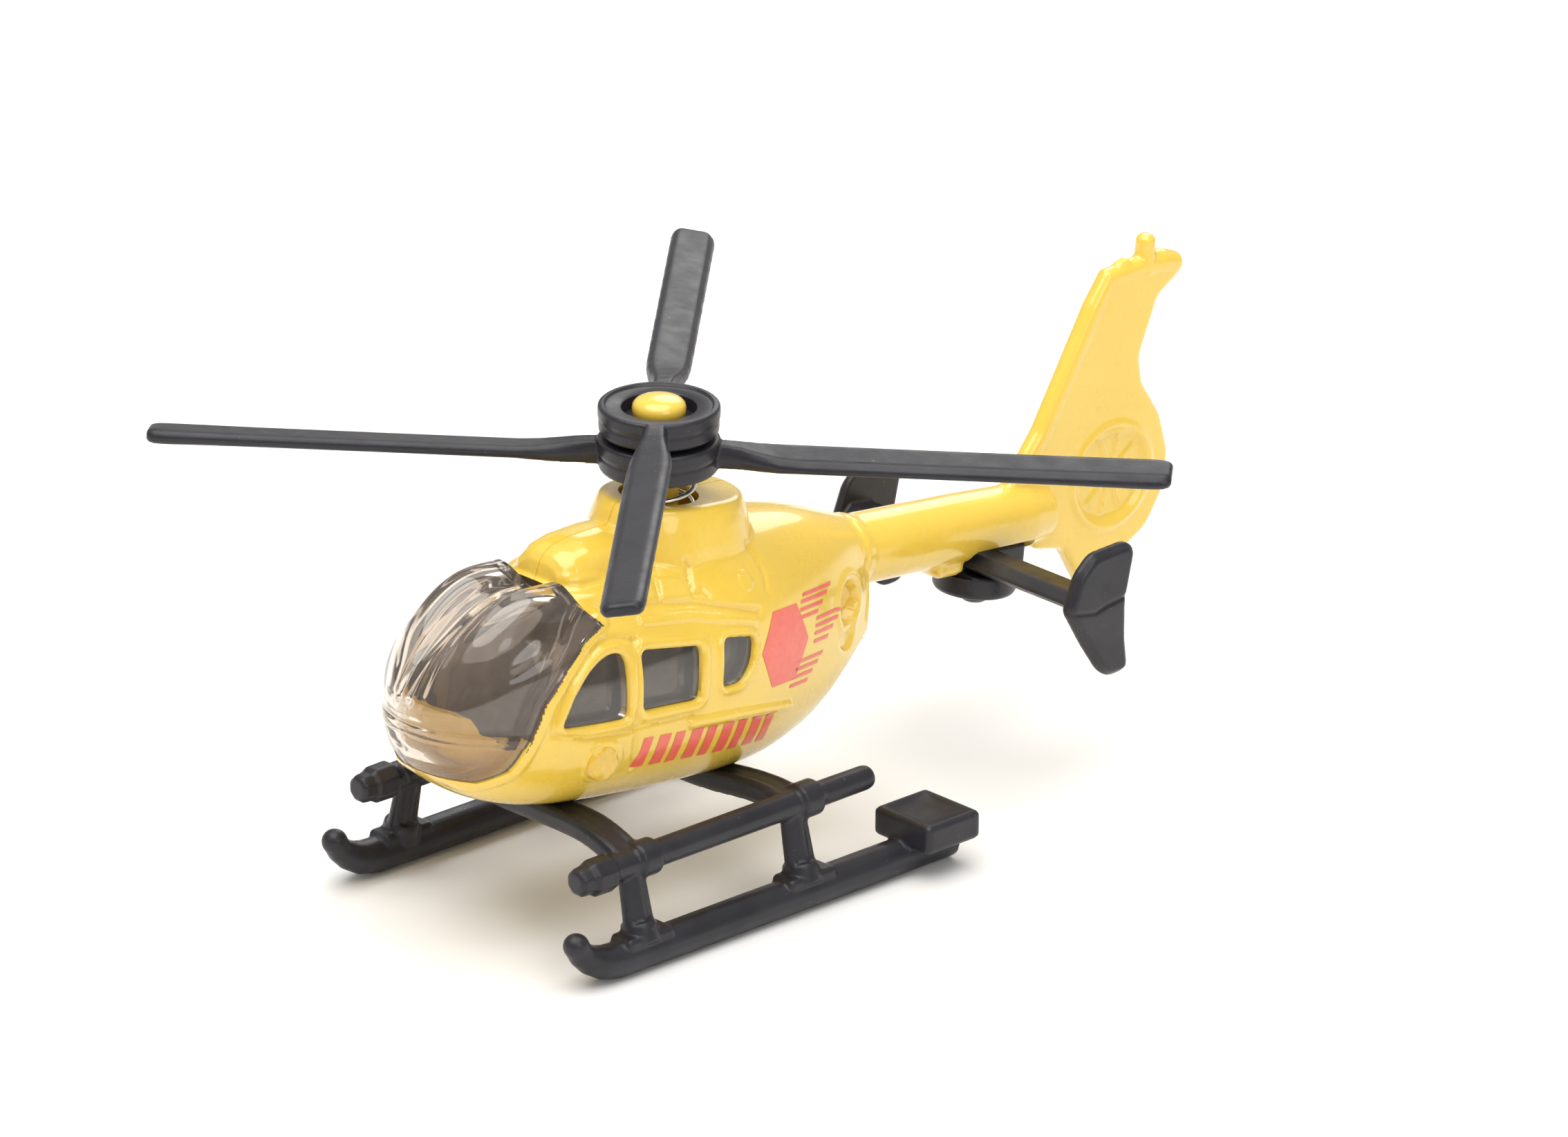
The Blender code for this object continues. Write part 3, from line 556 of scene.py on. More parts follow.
def dome_relief(points):
    """The screen's two lobes with the ribbed valley between them, and the chin's step."""
    x, y, z = points.T
    high = soft(18.5, 25.0, z) * soft(-24.5, -21.0, y)
    lobes = 0.95 * np.exp(-((np.abs(x) - 3.2) / 1.7) ** 2) * high
    valley = 0.75 * np.exp(-(x / 1.3) ** 2) * soft(17.5, 23.0, z)
    ribs = 0.09 * (np.exp(-((np.abs(x) - 1.15) / 0.3) ** 2) + 1.2 * np.exp(-(x / 0.28) ** 2))
    ribs *= soft(16.4, 18.5, z)
    flank = line_gap(points[:, 1:], ((-12.6, 23.4), (-16.5, 21.9), (-20.5, 19.9), (-23.5, 18.0)))
    cheek = 0.35 * np.exp(-(flank / 1.3) ** 2) * soft(3.0, 6.0, np.abs(x))
    step = 0.12 * soft(-0.2, 0.2, 15.95 - z) * (1 - soft(-0.2, 0.2, 14.95 - z))
    lines = 0.06 * (np.exp(-((z - 15.95) / 0.16) ** 2) + np.exp(-((z - 14.95) / 0.16) ** 2))
    nose = 0.10 * np.exp(-((z - 17.3) / 0.4) ** 2) * np.exp(-(x / 2.5) ** 2) * (y < -23)
    return lobes - valley + ribs + cheek + step - lines + nose


def windscreen():
    """The bulged screen, hollow inside and thin at its rim."""
    rim = rounded(SCREEN, SCREEN_ROUND, 4)
    outer = add("windscreen", hull_solid(0.05, -6.0, 190, 300))
    points, facing = coordinates(outer.data), normals(outer.data)
    place(outer.data, points + facing * dome_relief(points)[:, None])
    inner = add("screen_core", hull_solid(1.1, -4.0, 120, 200))
    points, facing = coordinates(inner.data), normals(inner.data)
    edge = 1 - soft(0.0, 0.7, -outline_gap(points[:, 1:], rim))
    rise = 0.9 * dome_relief(points) + 0.8 * edge
    place(inner.data, points + facing * rise[:, None])
    combine(outer, inner, "DIFFERENCE")
    return combine(outer, add("crop", tapered(rim, ((-WIDE, 0), (WIDE, 0)))), "INTERSECT")


def side_panes():
    """The panes' sheet behind the castings, with a plug that fills each window's opening."""
    panes = add("side_panes", hull_solid(1.3, 8.0, 100, 120))
    zone = ((-17.3, 15.7), (2.6, 15.7), (2.6, 22.2), (-14.6, 22.2), (-17.3, 21.9))
    combine(panes, add("zone", prism(zone, -WIDE, WIDE)), "INTERSECT")
    plugs = add("plugs", hull_solid(0.3, 8.0, 140, 160))
    first, *others = [add("plug", prism(grown(rounded(outline, WINDOW_ROUND), -SEAT_GAP),
                                        -WIDE, WIDE)) for outline in WINDOWS]
    for other in others:
        combine(first, other, "UNION")
    combine(plugs, first, "INTERSECT")
    combine(panes, plugs, "UNION")
    return combine(panes, add("panes_core", hull_solid(2.2, 9.0, 100, 120)), "DIFFERENCE")


def glazing(smoke):
    """The windscreen and the side panes, in the world's frame."""
    pieces = windscreen(), side_panes()
    for piece in pieces:
        piece.data.transform(HULL)
        dress(piece, smoke, 40)
    return pieces


def dress(thing, look, angle=35):
    """Gives a piece its material and smooth shading with sharp edges above an angle."""
    thing.data.materials.clear()
    thing.data.materials.append(look)
    thing.data.shade_smooth()
    thing.data.set_sharp_from_angle(angle=math.radians(angle))
    return thing


# ---- black plastic parts ----

RUNNER_X = 13.2
BAR_X = 11.9
BAR_Z = 8.0
LEG_YS = (-13.9, 2.5)
CROSS_TUBES = ((-13.9, ((0.0, 9.5), (5.0, 9.55), (7.6, 9.45), (9.6, 9.0), (11.2, 8.4),
                       (12.3, 7.9))),
               (2.5, ((0.0, 7.6), (4.0, 7.8), (7.5, 8.2), (10.2, 8.3), (12.3, 8.0))))


def ball(centre, radius, count=20):
    """A round solid with small flat poles."""
    x, y, z = centre
    steps = np.linspace(-0.985, 0.985, 12)
    rings = [np.insert(ring((x, y), radius * math.sqrt(1 - s * s), count), 2, z + radius * s, 1)
             for s in steps]
    return loft(np.array(rings))


def cross_tube(y, heights):
    """A flattened tube under the belly, with a raised bead along each of its long edges."""
    right = np.linspace(0.0, 12.3, 18)
    xs = np.r_[-right[:0:-1], right]
    zs = along(heights, np.abs(xs))
    tilt = np.arctan2(np.gradient(zs), np.gradient(xs))
    outline = np.array(((-1.30, -0.35), (-1.0, -0.85), (1.0, -0.85), (1.30, -0.35), (1.42, 0.3),
                        (1.25, 0.78), (0.85, 0.92), (0.6, 0.78), (-0.6, 0.78), (-0.85, 0.92),
                        (-1.25, 0.78), (-1.42, 0.3)))
    rings = [[(x - b * math.sin(t), MAST_Y + y + a, z + b * math.cos(t)) for a, b in outline]
             for x, z, t in zip(xs, zs, tilt)]
    return loft(np.array(rings))


def skid_shapes(side):
    """One side's runner with its upturned toe, side bar, legs and pad."""
    x, bar_x = RUNNER_X * side, BAR_X * side
    # (place along the runner, height, radius), then (place along the bar, radius).
    toe = ((-20.35, 3.55, 0.95), (-19.9, 2.85, 1.0), (-19.1, 2.2, 1.12), (-17.9, 1.65, 1.28),
           (-16.4, 1.42, 1.36), (-10.0, 1.40, 1.38), (0.0, 1.40, 1.38), (10.0, 1.40, 1.38),
           (17.5, 1.40, 1.38))
    shapes = [tube([(x, MAST_Y + y, z) for y, z, _ in toe], [r for _, _, r in toe], 28),
              ball((x, MAST_Y - 20.4, 3.65), 1.0),
              tube([(x * 1.012, MAST_Y + y, 2.1) for y in (-17.0, 12.5)], (0.72, 0.72), 16)]
    bar = ((-17.0, 1.0), (-16.0, 1.04), (0.0, 1.04), (5.2, 1.06), (5.3, 0.98), (9.9, 0.95),
           (10.35, 0.85), (10.6, 0.5))
    shapes.append(tube([(bar_x, MAST_Y + y, BAR_Z) for y, _ in bar], [r for _, r in bar], 24))
    nose = ((-19.35, 0.8), (-19.1, 1.1), (-18.2, 1.18), (-17.9, 1.42), (-16.1, 1.45),
            (-15.8, 1.1))
    shapes.append(tube([(bar_x, MAST_Y + y, BAR_Z - 0.1) for y, _ in nose],
                       [r for _, r in nose], 8))
    for leg_y in LEG_YS:
        shapes += leg_shapes(x, bar_x, MAST_Y + leg_y)
    low, high = sorted((10.5 * side, 16.5 * side))
    shapes.append(block((low, MAST_Y + 12.3, 2.3), (high, MAST_Y + 17.8, 4.6), 0.3))
    return shapes


def leg_shapes(x, bar_x, y):
    """A leg with two ribs down its face, its foot's collar and shoe, and the bar's sleeve."""
    top, foot = (bar_x, BAR_Z), (x, 2.2)
    shapes = [tube([(bar_x, y + a, BAR_Z) for a in (0.3, 0.5, 2.2, 2.4)],
                   (1.1, 1.42, 1.42, 1.1), 28)]
    for offset, radius in ((-0.62, 0.5), (0.62, 0.5), (0.0, 0.72)):
        shapes.append(tube([(top[0], y + offset, top[1]),
                            (foot[0], y + offset * 1.35, foot[1])], (radius, radius * 1.15), 16))
    knee = x + (bar_x - x) * 0.26
    shapes.append(tube([(knee, y, 3.75), (knee + (x - knee) * 0.15, y, 3.5), (x, y, 2.2)],
                       (1.15, 1.35, 1.5), 24))
    outline = rounded(((y - 2.5, 1.5), (y + 2.8, 1.5), (y + 2.4, 3.05), (y - 2.1, 3.05)), 0.3, 3)
    shapes.append(tapered(outline, ((x - 1.15, 0.25), (x - 0.9, 0.0), (x + 0.9, 0.0),
                                    (x + 1.15, 0.25))))
    return shapes


def landing_gear(black):
    """Both skids and the two cross tubes, as one moulding."""
    shapes = skid_shapes(1) + skid_shapes(-1)
    shapes += [cross_tube(*tube_line) for tube_line in CROSS_TUBES]
    gear = fused("skids", shapes, 0.15, 2)
    points = coordinates(gear.data)
    # Each pad's top is dished.
    dx = (np.abs(points[:, 0]) - 13.5) / 2.45
    dy = (points[:, 1] - MAST_Y - 15.05) / 2.15
    bowl = np.clip(1 - np.abs(dx) ** 2.6, 0, 1) * np.clip(1 - np.abs(dy) ** 2.6, 0, 1)
    points[:, 2] -= np.where(points[:, 2] > 4.2, 0.62 * bowl**0.7, 0)
    points[:, 2] = points[:, 2].clip(0)
    place(gear.data, points)
    gear.data.transform(WORLD)
    return dress(gear, black, 60)


def blade(angle, height):
    """A blade with a tall narrow root that flares and turns into a flat, ridged section."""
    tip_turn = math.radians(8.6)
    # (radius, chord, thickness, share of the tip's turn).
    stations = ((3.6, 1.9, 1.85, 0.0), (5.0, 1.9, 1.8, 0.0), (6.2, 2.15, 1.65, 0.2),
                (7.6, 2.75, 1.4, 0.6), (9.0, 3.25, 1.15, 0.9), (10.6, 3.42, 1.0, 1.0),
                (20.0, 3.42, 0.98, 1.0), (30.0, 3.42, 1.0, 1.0), (36.6, 3.42, 1.1, 1.0),
                (37.4, 3.25, 1.08, 1.0), (37.8, 2.9, 0.95, 1.0), (38.0, 2.4, 0.6, 1.0))
    turn = np.array(Matrix.Rotation(angle, 3, "Z"))
    outline = np.array(((-0.5, -0.1), (-0.46, -0.36), (-0.4, -0.5), (0.4, -0.5), (0.47, -0.34),
                        (0.5, 0.0), (0.46, 0.28), (0.38, 0.46), (0.3, 0.5), (-0.26, 0.5),
                        (-0.34, 0.46), (-0.46, 0.16)))
    rings = []
    for radius, chord, thick, twist in stations:
        lean = tip_turn * twist
        flat = outline * (chord, thick)
        across = flat[:, 0] * math.cos(lean) - flat[:, 1] * math.sin(lean)
        up = flat[:, 0] * math.sin(lean) + flat[:, 1] * math.cos(lean)
        up += 0.18 * float(1 - soft(5.0, 9.0, np.array(radius)))
        local = np.c_[np.full(len(flat), radius), across, up]
        rings.append(local @ turn.T + (0, MAST_Y, height))
    return loft(np.array(rings))


def rotor(name, low, high, angle, height, bore, black):
    """A hub ring with a stepped rim and its two blades."""
    step = low + (high - low) * 0.52
    profile = ((low, 4.0), (low + 0.1, 4.3), (low + 0.32, 4.47), (step - 0.06, 4.50),
               (step + 0.06, 4.56), (high - 0.2, 4.56), (high - 0.05, 4.48), (high, 4.35))
    hub = turned(profile, MAST_AT, count=72)
    ring_piece = fused(name, [hub, blade(angle, height), blade(angle + math.pi, height)], 0.12, 2)
    combine(ring_piece, add("bore", turned(bore, MAST_AT, count=64)), "DIFFERENCE")
    points = coordinates(ring_piece.data)
    points[:, 2] = points[:, 2].clip(low, high)
    out = points[:, :2] - MAST_AT
    reach = np.hypot(*out.T)
    groove = 0.10 * np.exp(-((points[:, 2] - step) / 0.13) ** 2) * soft(4.2, 4.4, reach)
    groove *= 1 - soft(4.62, 4.7, reach)
    points[:, :2] -= out * (groove / reach.clip(1))[:, None]
    place(ring_piece.data, points)
    ring_piece.data.transform(WORLD)
    return dress(ring_piece, black, 42)


def rotors(black):
    """The lower ring with a plain bore, and the upper one with a seat for the pin's head."""
    bore = ((20.0, 1.62), (45.0, 1.62))
    lower = rotor("lower_rotor_ring", 31.9, 34.5, math.radians(41.3), 33.1, bore, black)
    seat = ((34.0, 1.62), (35.9, 1.62), (35.91, 2.75), (36.8, 2.82), (36.93, 3.0),
            (36.94, 3.95), (37.08, 4.1), (40.0, 4.15))
    upper = rotor("upper_rotor_ring", 34.8, 37.1, math.radians(-47.2), 36.0, seat, black)
    return lower, upper


def stabilizer(black):
    """The tailplane's bar, its clip disc and the two bent, bevelled end plates."""
    wing = rounded(((30.6, 19.6), (31.4, 19.0), (33.8, 19.15), (34.2, 19.7), (33.8, 20.4),
                    (31.4, 20.45)), 0.2, 3)
    shapes = [prism(wing, -12.8, 12.8)]
    disc = ((16.85, 2.6), (17.0, 3.0), (17.3, 3.2), (18.6, 3.25), (18.8, 3.15))
    shapes.append(turned(disc, (0.0, 33.2), count=56))
    shapes.append(turned(((15.95, 0.35), (16.05, 0.8), (16.35, 1.2), (17.4, 1.35)), (0.0, 33.3)))
    shapes.append(block((-1.4, 33.4, 18.6), (1.4, 37.1, 20.5), 0.25))
    plate = rounded(((30.1, 19.2), (30.9, 22.0), (32.3, 23.5), (35.9, 24.0), (36.9, 23.4),
                     (36.4, 19.2), (37.7, 14.0), (37.3, 13.4), (35.7, 13.2), (34.7, 13.8)), 0.6, 4)
    for side in (-1, 1):
        levels = ((12.15, 0.15), (12.3, 0.0), (12.65, 0.0), (13.1, 0.38), (13.2, 0.6))
        levels = sorted((side * x, inset) for x, inset in levels)
        shapes.append(tapered(plate, levels))
    piece = fused("tailplane", shapes, 0.11, 2)
    room = block((-2.2, 20.0, 18.6), (2.2, 30.85, 30.0), 0.1)
    combine(piece, add("room", room), "DIFFERENCE")
    points = coordinates(piece.data)
    flat, outer = points[:, 1:], np.abs(points[:, 0]) > 12.75
    crease = np.exp(-(line_gap(flat, ((30.4, 19.1), (33.0, 18.9), (34.0, 19.3), (36.7, 19.9)))
                      / 0.16) ** 2) * 0.14
    lower = soft(0.0, 3.5, 19.2 - points[:, 2]) * 0.35
    points[:, 0] -= np.sign(points[:, 0]) * np.where(outer, crease, 0)
    plates = np.abs(points[:, 0]) > 11.5
    points[:, 0] -= np.sign(points[:, 0]) * np.where(plates, lower, 0)
    place(piece.data, points)
    piece.data.transform(HULL)
    return dress(piece, black, 50)


# ---- small yellow and steel parts ----

def mast(enamel):
    """The pin with its collar and domed head."""
    profile = ((23.6, 2.6), (24.7, 2.6), (24.75, 1.5), (36.05, 1.5), (36.1, 1.85), (36.25, 2.0),
               (36.8, 2.03), (37.12, 1.94), (37.36, 1.7), (37.52, 1.35), (37.62, 0.9),
               (37.67, 0.3))
    piece = add("mast_pin", turned(profile, MAST_AT, count=64))
    piece.data.transform(WORLD)
    return dress(piece, enamel, 50)


def spring(steel):
    """The coil of wire round the mast, from the fairing's recess up to the lower ring."""
    turns, count = 2.1, 240
    i = np.arange(count + 1) / count
    reach, angle = 2.62, math.tau * turns * i - 2.2
    height = 28.2 + 3.5 * i
    path = np.stack([reach * np.cos(angle), MAST_Y + reach * np.sin(angle), height], -1)
    radii = np.full(count + 1, 0.21)
    piece = add("spring_coil", tube(path, radii, 14))
    piece.data.transform(WORLD)
    return dress(piece, steel, 60)


def rivets(enamel):
    """The front rivet's battered head over the casting, and the rear one's sunk end."""
    made = []
    for name, y, z, profile in (
            ("front_rivet_head", -13.1, 13.4,
             ((-7.1, 1.0), (7.6, 1.15), (7.65, 1.5), (8.75, 1.46), (8.95, 1.25), (9.05, 0.8),
              (9.0, 0.2))),
            ("rear_rivet_head", 15.0, 20.1,
             ((-3.2, 0.8), (3.35, 0.85), (3.4, 1.15), (3.75, 1.1), (3.85, 0.7), (3.8, 0.2)))):
        piece = fused(name, [turned(profile, (y, z), 0, 40)], 0.11, 1)
        points = coordinates(piece.data)
        swirl = np.sin(points[:, 1] * 5.1 + 1.3) * np.sin(points[:, 2] * 4.3 + points[:, 1] * 1.7)
        points[:, 0] += 0.05 * swirl * (points[:, 0] > 3.3)
        place(piece.data, points)
        piece.data.transform(HULL)
        made.append(dress(piece, enamel, 60))
    return made


# ---- printed graphics ----

STRIPES = ((8.0, 12.0, 22.4), (7.7, 11.4, 21.95), (7.5, 10.7, 21.4), (7.3, 10.0, 20.85),
           (9.7, 13.2, 20.3), (9.6, 12.8, 19.75), (9.5, 12.2, 19.2), (9.4, 11.5, 18.6),
           (6.8, 10.8, 17.5), (6.7, 10.2, 16.95), (6.5, 9.5, 16.4), (6.4, 8.9, 15.8))
PRINT_RISE = 0.035


def graphics():
    """Outlines in the side view: a plain hexagon badge, speed stripes and slanted bars."""
    outlines = [((start, z - 0.12), (end - 0.1, z - 0.16), (end + 0.06, z + 0.12),
                 (start + 0.12, z + 0.14)) for start, end, z in STRIPES]
    outlines.append(tuple((5.6 + 3.0 * math.cos(math.radians(60 * k)),
                           19.15 + 3.3 * math.sin(math.radians(60 * k))) for k in range(6)))
    for i in range(9):
        start = -9.8 + 1.66 * i
        low, high = 12.35 - 0.055 * i, 14.75 - 0.05 * i
        width = (0.95, 1.15)[i % 2]
        outlines.append(((start, low), (start + width, low), (start + width + 0.42, high),
                         (start + 0.42, high)))
    return outlines


def skins(halves):
    """Search trees of the castings in the hull's frame, for laying the print on them."""
    back = HULL.inverted()
    found = []
    for half in halves:
        points = [back @ v.co for v in half.data.vertices]
        found.append(BVHTree.FromPolygons(points, [tuple(p.vertices) for p in half.data.polygons]))
    return found


def print_mesh(name, trees, side):
    """Thin printed shapes laid on the castings' side, just proud of their skin."""
    vertices, faces = [], []
    for outline in graphics():
        points, triangles = filled(outline, 0.3)
        base = len(vertices)
        for y, z in points:
            hits = [tree.ray_cast(Vector((15.0 * side, y, z)), Vector((-side, 0, 0)))
                    for tree in trees]
            hits = [(spot, facing) for spot, facing, _, _ in hits if spot is not None]
            spot, facing = max(hits, key=lambda hit: hit[0].x * side)
            if facing.x * side < 0:
                facing = -facing
            vertices.append(spot + facing * PRINT_RISE)
        for a, b, c in triangles:
            faces.append((base + a, base + b, base + c))
    mesh = bpy.data.meshes.new(name)
    mesh.from_pydata([tuple(v) for v in vertices], [], faces)
    mesh.transform(HULL)
    return linked(name, mesh)


def filled(outline, spacing):
    """Points and triangles that fill an outline, close enough together to lie on a curve."""
    edge = []
    loop = [Vector(p) for p in outline]
    for a, b in zip(loop, loop[1:] + loop[:1]):
        steps = max(1, math.ceil((b - a).length / spacing))
        edge += [a + (b - a) * k / steps for k in range(steps)]
    count = len(edge)
    flat = np.array([tuple(p) for p in edge])
    low, high = flat.min(0), flat.max(0)
    ys, zs = np.meshgrid(np.arange(low[0], high[0], spacing), np.arange(low[1], high[1], spacing))
    inner = np.stack([ys.ravel(), zs.ravel()], -1)
    inner = inner[outline_gap(inner, flat) < -spacing * 0.45]
    points = edge + [Vector(p) for p in inner.tolist()]
    rim = [(i, (i + 1) % count) for i in range(count)]
    result = delaunay_2d_cdt(points, rim, [list(range(count))], 1, 1e-5)
    return [tuple(p) for p in result[0]], [f for f in result[2] if len(f) == 3]


# ---- materials ----

class Nodes:
    """A material's node tree with short calls for what the looks below need."""

    def __init__(self, name):
        self.material = bpy.data.materials.new(name)
        self.material.use_nodes = True
        self.tree = self.material.node_tree
        self.shader = self.tree.nodes["Principled BSDF"]
        self.place = self.tree.nodes.new("ShaderNodeTexCoord").outputs["Object"]

    def link(self, source, target):
        self.tree.links.new(source, target)

    def noise(self, scale, detail=3.0, rough=0.55, stretch=(1, 1, 1)):
        mapping = self.tree.nodes.new("ShaderNodeMapping")
        mapping.inputs["Scale"].default_value = stretch
        node = self.tree.nodes.new("ShaderNodeTexNoise")
        node.inputs["Scale"].default_value = scale
        node.inputs["Detail"].default_value = detail
        node.inputs["Roughness"].default_value = rough
        self.link(self.place, mapping.inputs["Vector"])
        self.link(mapping.outputs["Vector"], node.inputs["Vector"])
        return node.outputs["Fac"]

    def ramp(self, source, *stops):
        node = self.tree.nodes.new("ShaderNodeValToRGB")
        while len(node.color_ramp.elements) < len(stops):
            node.color_ramp.elements.new(0.5)
        for element, (at, colour) in zip(node.color_ramp.elements, stops):
            element.position = at
            value = colour if isinstance(colour, tuple) else (colour,) * 3
            element.color = (*value, 1.0)
        self.link(source, node.inputs["Fac"])
        return node.outputs["Color"]

    def mix(self, amount, one, two):
        node = self.tree.nodes.new("ShaderNodeMix")
        node.data_type = "RGBA"
        for source, target in ((amount, node.inputs[0]), (one, node.inputs[6]),
                               (two, node.inputs[7])):
            if isinstance(source, (int, float)):
                target.default_value = source
            elif isinstance(source, tuple):
                target.default_value = (*source, 1.0)
            else:
                self.link(source, target)
        return node.outputs[2]

    def bump(self, height, distance, strength):
        node = self.tree.nodes.new("ShaderNodeBump")
        node.inputs["Strength"].default_value = strength
        node.inputs["Distance"].default_value = distance
        self.link(height, node.inputs["Height"])
        self.link(node.outputs["Normal"], self.shader.inputs["Normal"])

    def set(self, **values):
        for name, value in values.items():
            socket = self.shader.inputs[name.replace("_", " ")]
            if hasattr(value, "links"):
                self.link(value, socket)
            else:
                socket.default_value = (*value, 1.0) if isinstance(value, tuple) else value
        return self.material


def enamel_look(name="yellow_enamel", low=(0.84, 0.56, 0.058), high=(0.87, 0.595, 0.075)):
    """Thick warm yellow enamel with a wet gloss and a few dark grains."""
    n = Nodes(name)
    tone = n.ramp(n.noise(160, 3), (0.3, low), (0.7, high))
    speck = n.ramp(n.noise(2600, 2), (0.75, 0.0), (0.80, 1.0))
    colour = n.mix(speck, tone, (0.72, 0.42, 0.05))
    rough = n.ramp(n.noise(420, 4), (0.3, 0.22), (0.75, 0.34))
    n.bump(n.noise(500, 2), 0.00002, 0.15)
    return n.set(Base_Color=colour, Roughness=rough, Coat_Weight=0.85, Coat_Roughness=0.09,
                 Specular_IOR_Level=0.5)


def painted_shade_look():
    """Painted shade: a dark matt brown for the castings' inner walls and the screen's jamb,
    standing in for the shade inside the cabin.
    """
    n = Nodes("cabin_painted_shade")
    colour = n.ramp(n.noise(700, 4), (0.3, (0.09, 0.052, 0.034)), (0.7, (0.19, 0.122, 0.082)))
    n.bump(n.noise(1500, 3), 0.00005, 0.6)
    return n.set(Base_Color=colour, Roughness=0.6)


def print_look():
    """Translucent red pad print, a little thin where the enamel's grain shows through."""
    n = Nodes("red_print")
    thin = n.ramp(n.noise(1500, 4), (0.35, 0.0), (0.8, 0.35))
    colour = n.mix(thin, (0.83, 0.115, 0.085), (0.9, 0.30, 0.10))
    return n.set(Base_Color=colour, Roughness=0.33, Coat_Weight=0.5, Coat_Roughness=0.12)


def plastic_look():
    """Satin black moulded plastic: fine grain, faint rubbed patches and a few pale specks."""
    n = Nodes("black_plastic")
    tone = n.ramp(n.noise(220, 5, 0.6), (0.3, (0.014, 0.013, 0.017)),
                  (0.75, (0.027, 0.026, 0.033)))
    speck = n.ramp(n.noise(3000, 2), (0.735, 0.0), (0.79, 0.5))
    colour = n.mix(speck, tone, (0.30, 0.29, 0.31))
    rough = n.ramp(n.noise(600, 5), (0.3, 0.29), (0.7, 0.44))
    n.bump(n.noise(3200, 3), 0.00002, 0.5)
    return n.set(Base_Color=colour, Roughness=rough, Specular_IOR_Level=0.4)


def smoke_look():
    """Clear polystyrene with a brown smoke tint and faint flow marks."""
    n = Nodes("smoke_clear")
    n.bump(n.noise(120, 1, 0.3, (1, 1, 0.4)), 0.0001, 0.15)
    return n.set(Base_Color=(0.86, 0.77, 0.67), Roughness=0.045, Transmission_Weight=0.96,
                 IOR=1.45, Coat_Weight=0.5, Coat_Roughness=0.04)


def steel_look():
    """Bright drawn wire."""
    n = Nodes("spring_steel")
    rough = n.ramp(n.noise(1500, 3), (0.3, 0.18), (0.7, 0.34))
    return n.set(Base_Color=(0.72, 0.69, 0.64), Metallic=1.0, Roughness=rough)


# ---- stage ----

def studio():
    """A pale paper floor under a soft sky that is darker near the horizon, and three lamps."""
    corners = ((-3, -3), (3, -3), (3, 3), (-3, 3))
    floor = add("floor", prism(corners, -0.02, 0.0, 2))
    n = Nodes("paper_floor")
    tone = n.ramp(n.noise(30, 3), (0.3, (0.90, 0.895, 0.885)), (0.7, (0.93, 0.925, 0.915)))
    dress(floor, n.set(Base_Color=tone, Roughness=0.7, Specular_IOR_Level=0.2))
    world = bpy.data.worlds.new("studio")
    bpy.context.scene.world = world
    world.use_nodes = True
    tree = world.node_tree
    sky = tree.nodes["Background"]
    place = tree.nodes.new("ShaderNodeTexCoord")
    split = tree.nodes.new("ShaderNodeSeparateXYZ")
    ramp = tree.nodes.new("ShaderNodeValToRGB")
    for element, (at, value) in zip(ramp.color_ramp.elements, ((0.02, 0.34), (0.6, 0.54))):
        element.position = at
        element.color = (value, value * 0.985, value * 0.96, 1.0)
    tree.links.new(place.outputs["Generated"], split.inputs[0])
    tree.links.new(split.outputs["Z"], ramp.inputs["Fac"])
    tree.links.new(ramp.outputs["Color"], sky.inputs["Color"])
    lamp("key", (0.02, -0.10, 0.60), 0.80, 4.9, (1.0, 0.985, 0.96))
    lamp("side", (0.50, -0.10, 0.30), 0.30, 0.5, (1.0, 1.0, 1.0))
    lamp("back", (-0.30, 0.45, 0.35), 0.35, 0.7, (1.0, 0.99, 0.97))


def lamp(name, at, size, power, colour):
    """A round soft lamp that points at the middle of the toy."""
    light = bpy.data.lights.new(name, "AREA")
    light.shape = "DISK"
    light.size = size
    light.energy = power
    light.color = colour
    made = linked(name, light)
    made.location = at
    aim = Vector((0, 0, 0.015)) - Vector(at)
    made.rotation_euler = aim.to_track_quat("-Z", "Y").to_euler()


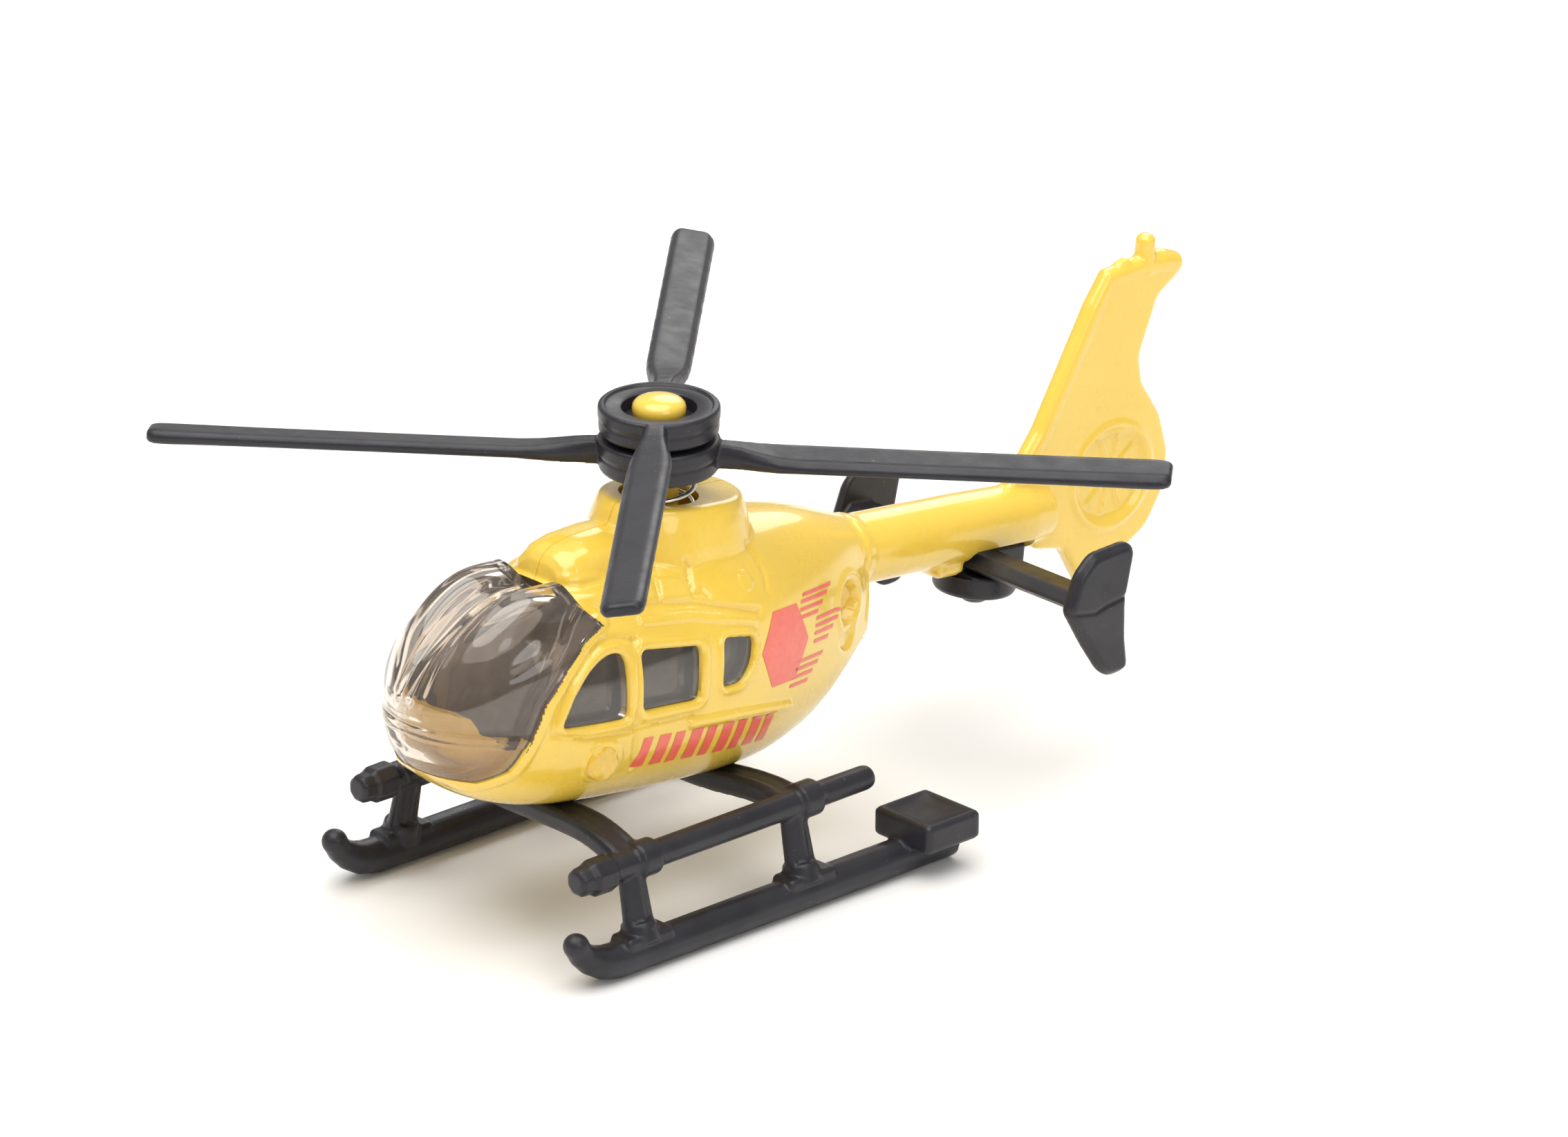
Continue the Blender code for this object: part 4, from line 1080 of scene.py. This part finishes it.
def camera():
    """A long-lens view from the port bow, from a little above the rotor."""
    lens = bpy.data.cameras.new("camera")
    lens.lens = 336.6
    lens.sensor_width = 36.0
    lens.clip_start = 0.05
    view = linked("camera", lens)
    # Where it stands round the toy, how far above, and how far it leans.
    azimuth, rise, roll = math.radians(46.166), math.radians(22.091), math.radians(0.580)
    back = Vector((math.sin(azimuth) * math.cos(rise), -math.cos(azimuth) * math.cos(rise),
                   math.sin(rise)))
    right = Vector((math.cos(azimuth), math.sin(azimuth), 0.0))
    up = back.cross(right)
    turned_right = right * math.cos(roll) + up * math.sin(roll)
    turned_up = up * math.cos(roll) - right * math.sin(roll)
    view.matrix_world = Matrix.Translation((0.7326, -0.70337, 0.4326)) @ Matrix(
        (turned_right, turned_up, back)).transposed().to_4x4()
    bpy.context.scene.camera = view
    bpy.context.scene.view_settings.view_transform = "Standard"


def stand_for(piece, node, body):
    """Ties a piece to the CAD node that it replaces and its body."""
    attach(piece, body)
    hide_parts(node)


def small_parts(enamel, black, steel):
    """Everything but the castings, their print and the glazing."""
    lower, upper = rotors(black)
    stand_for(lower, "lower_rotor", "lower_rotor_ring")
    stand_for(upper, "upper_rotor", "upper_rotor_ring")
    stand_for(landing_gear(black), "landing_gear", "airframe")
    stand_for(stabilizer(black), "tail_stabilizer", "airframe")
    stand_for(mast(enamel), "rotor_mast", "airframe")
    stand_for(spring(steel), "mast_spring", "airframe")
    # The rivet heads get a darker, more varied yellow than the castings.
    front, rear = rivets(enamel_look("darker_enamel", (0.72, 0.42, 0.02), (0.86, 0.58, 0.06)))
    stand_for(front, "front_rivet", "airframe")
    stand_for(rear, "rear_rivet", "airframe")


def main():
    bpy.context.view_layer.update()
    studio()
    camera()
    enamel = enamel_look()
    halves = castings(enamel, painted_shade_look())
    for half, node in zip(halves, ("body_left_half", "body_right_half")):
        stand_for(half, node, "airframe")
    red, trees = print_look(), skins(halves)
    for side, name in ((1, "left_print"), (-1, "right_print")):
        prints = dress(print_mesh(name, trees, side), red)
        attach(prints, "airframe")
    screen, panes = glazing(smoke_look())
    stand_for(screen, "cabin_glazing", "airframe")
    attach(panes, "airframe")
    small_parts(enamel, plastic_look(), steel_look())


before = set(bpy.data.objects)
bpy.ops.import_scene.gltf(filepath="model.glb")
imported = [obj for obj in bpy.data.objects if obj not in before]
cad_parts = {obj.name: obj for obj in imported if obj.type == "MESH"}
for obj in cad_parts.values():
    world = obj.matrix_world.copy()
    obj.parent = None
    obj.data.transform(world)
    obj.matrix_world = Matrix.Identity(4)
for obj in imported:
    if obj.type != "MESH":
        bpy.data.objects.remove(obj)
main()
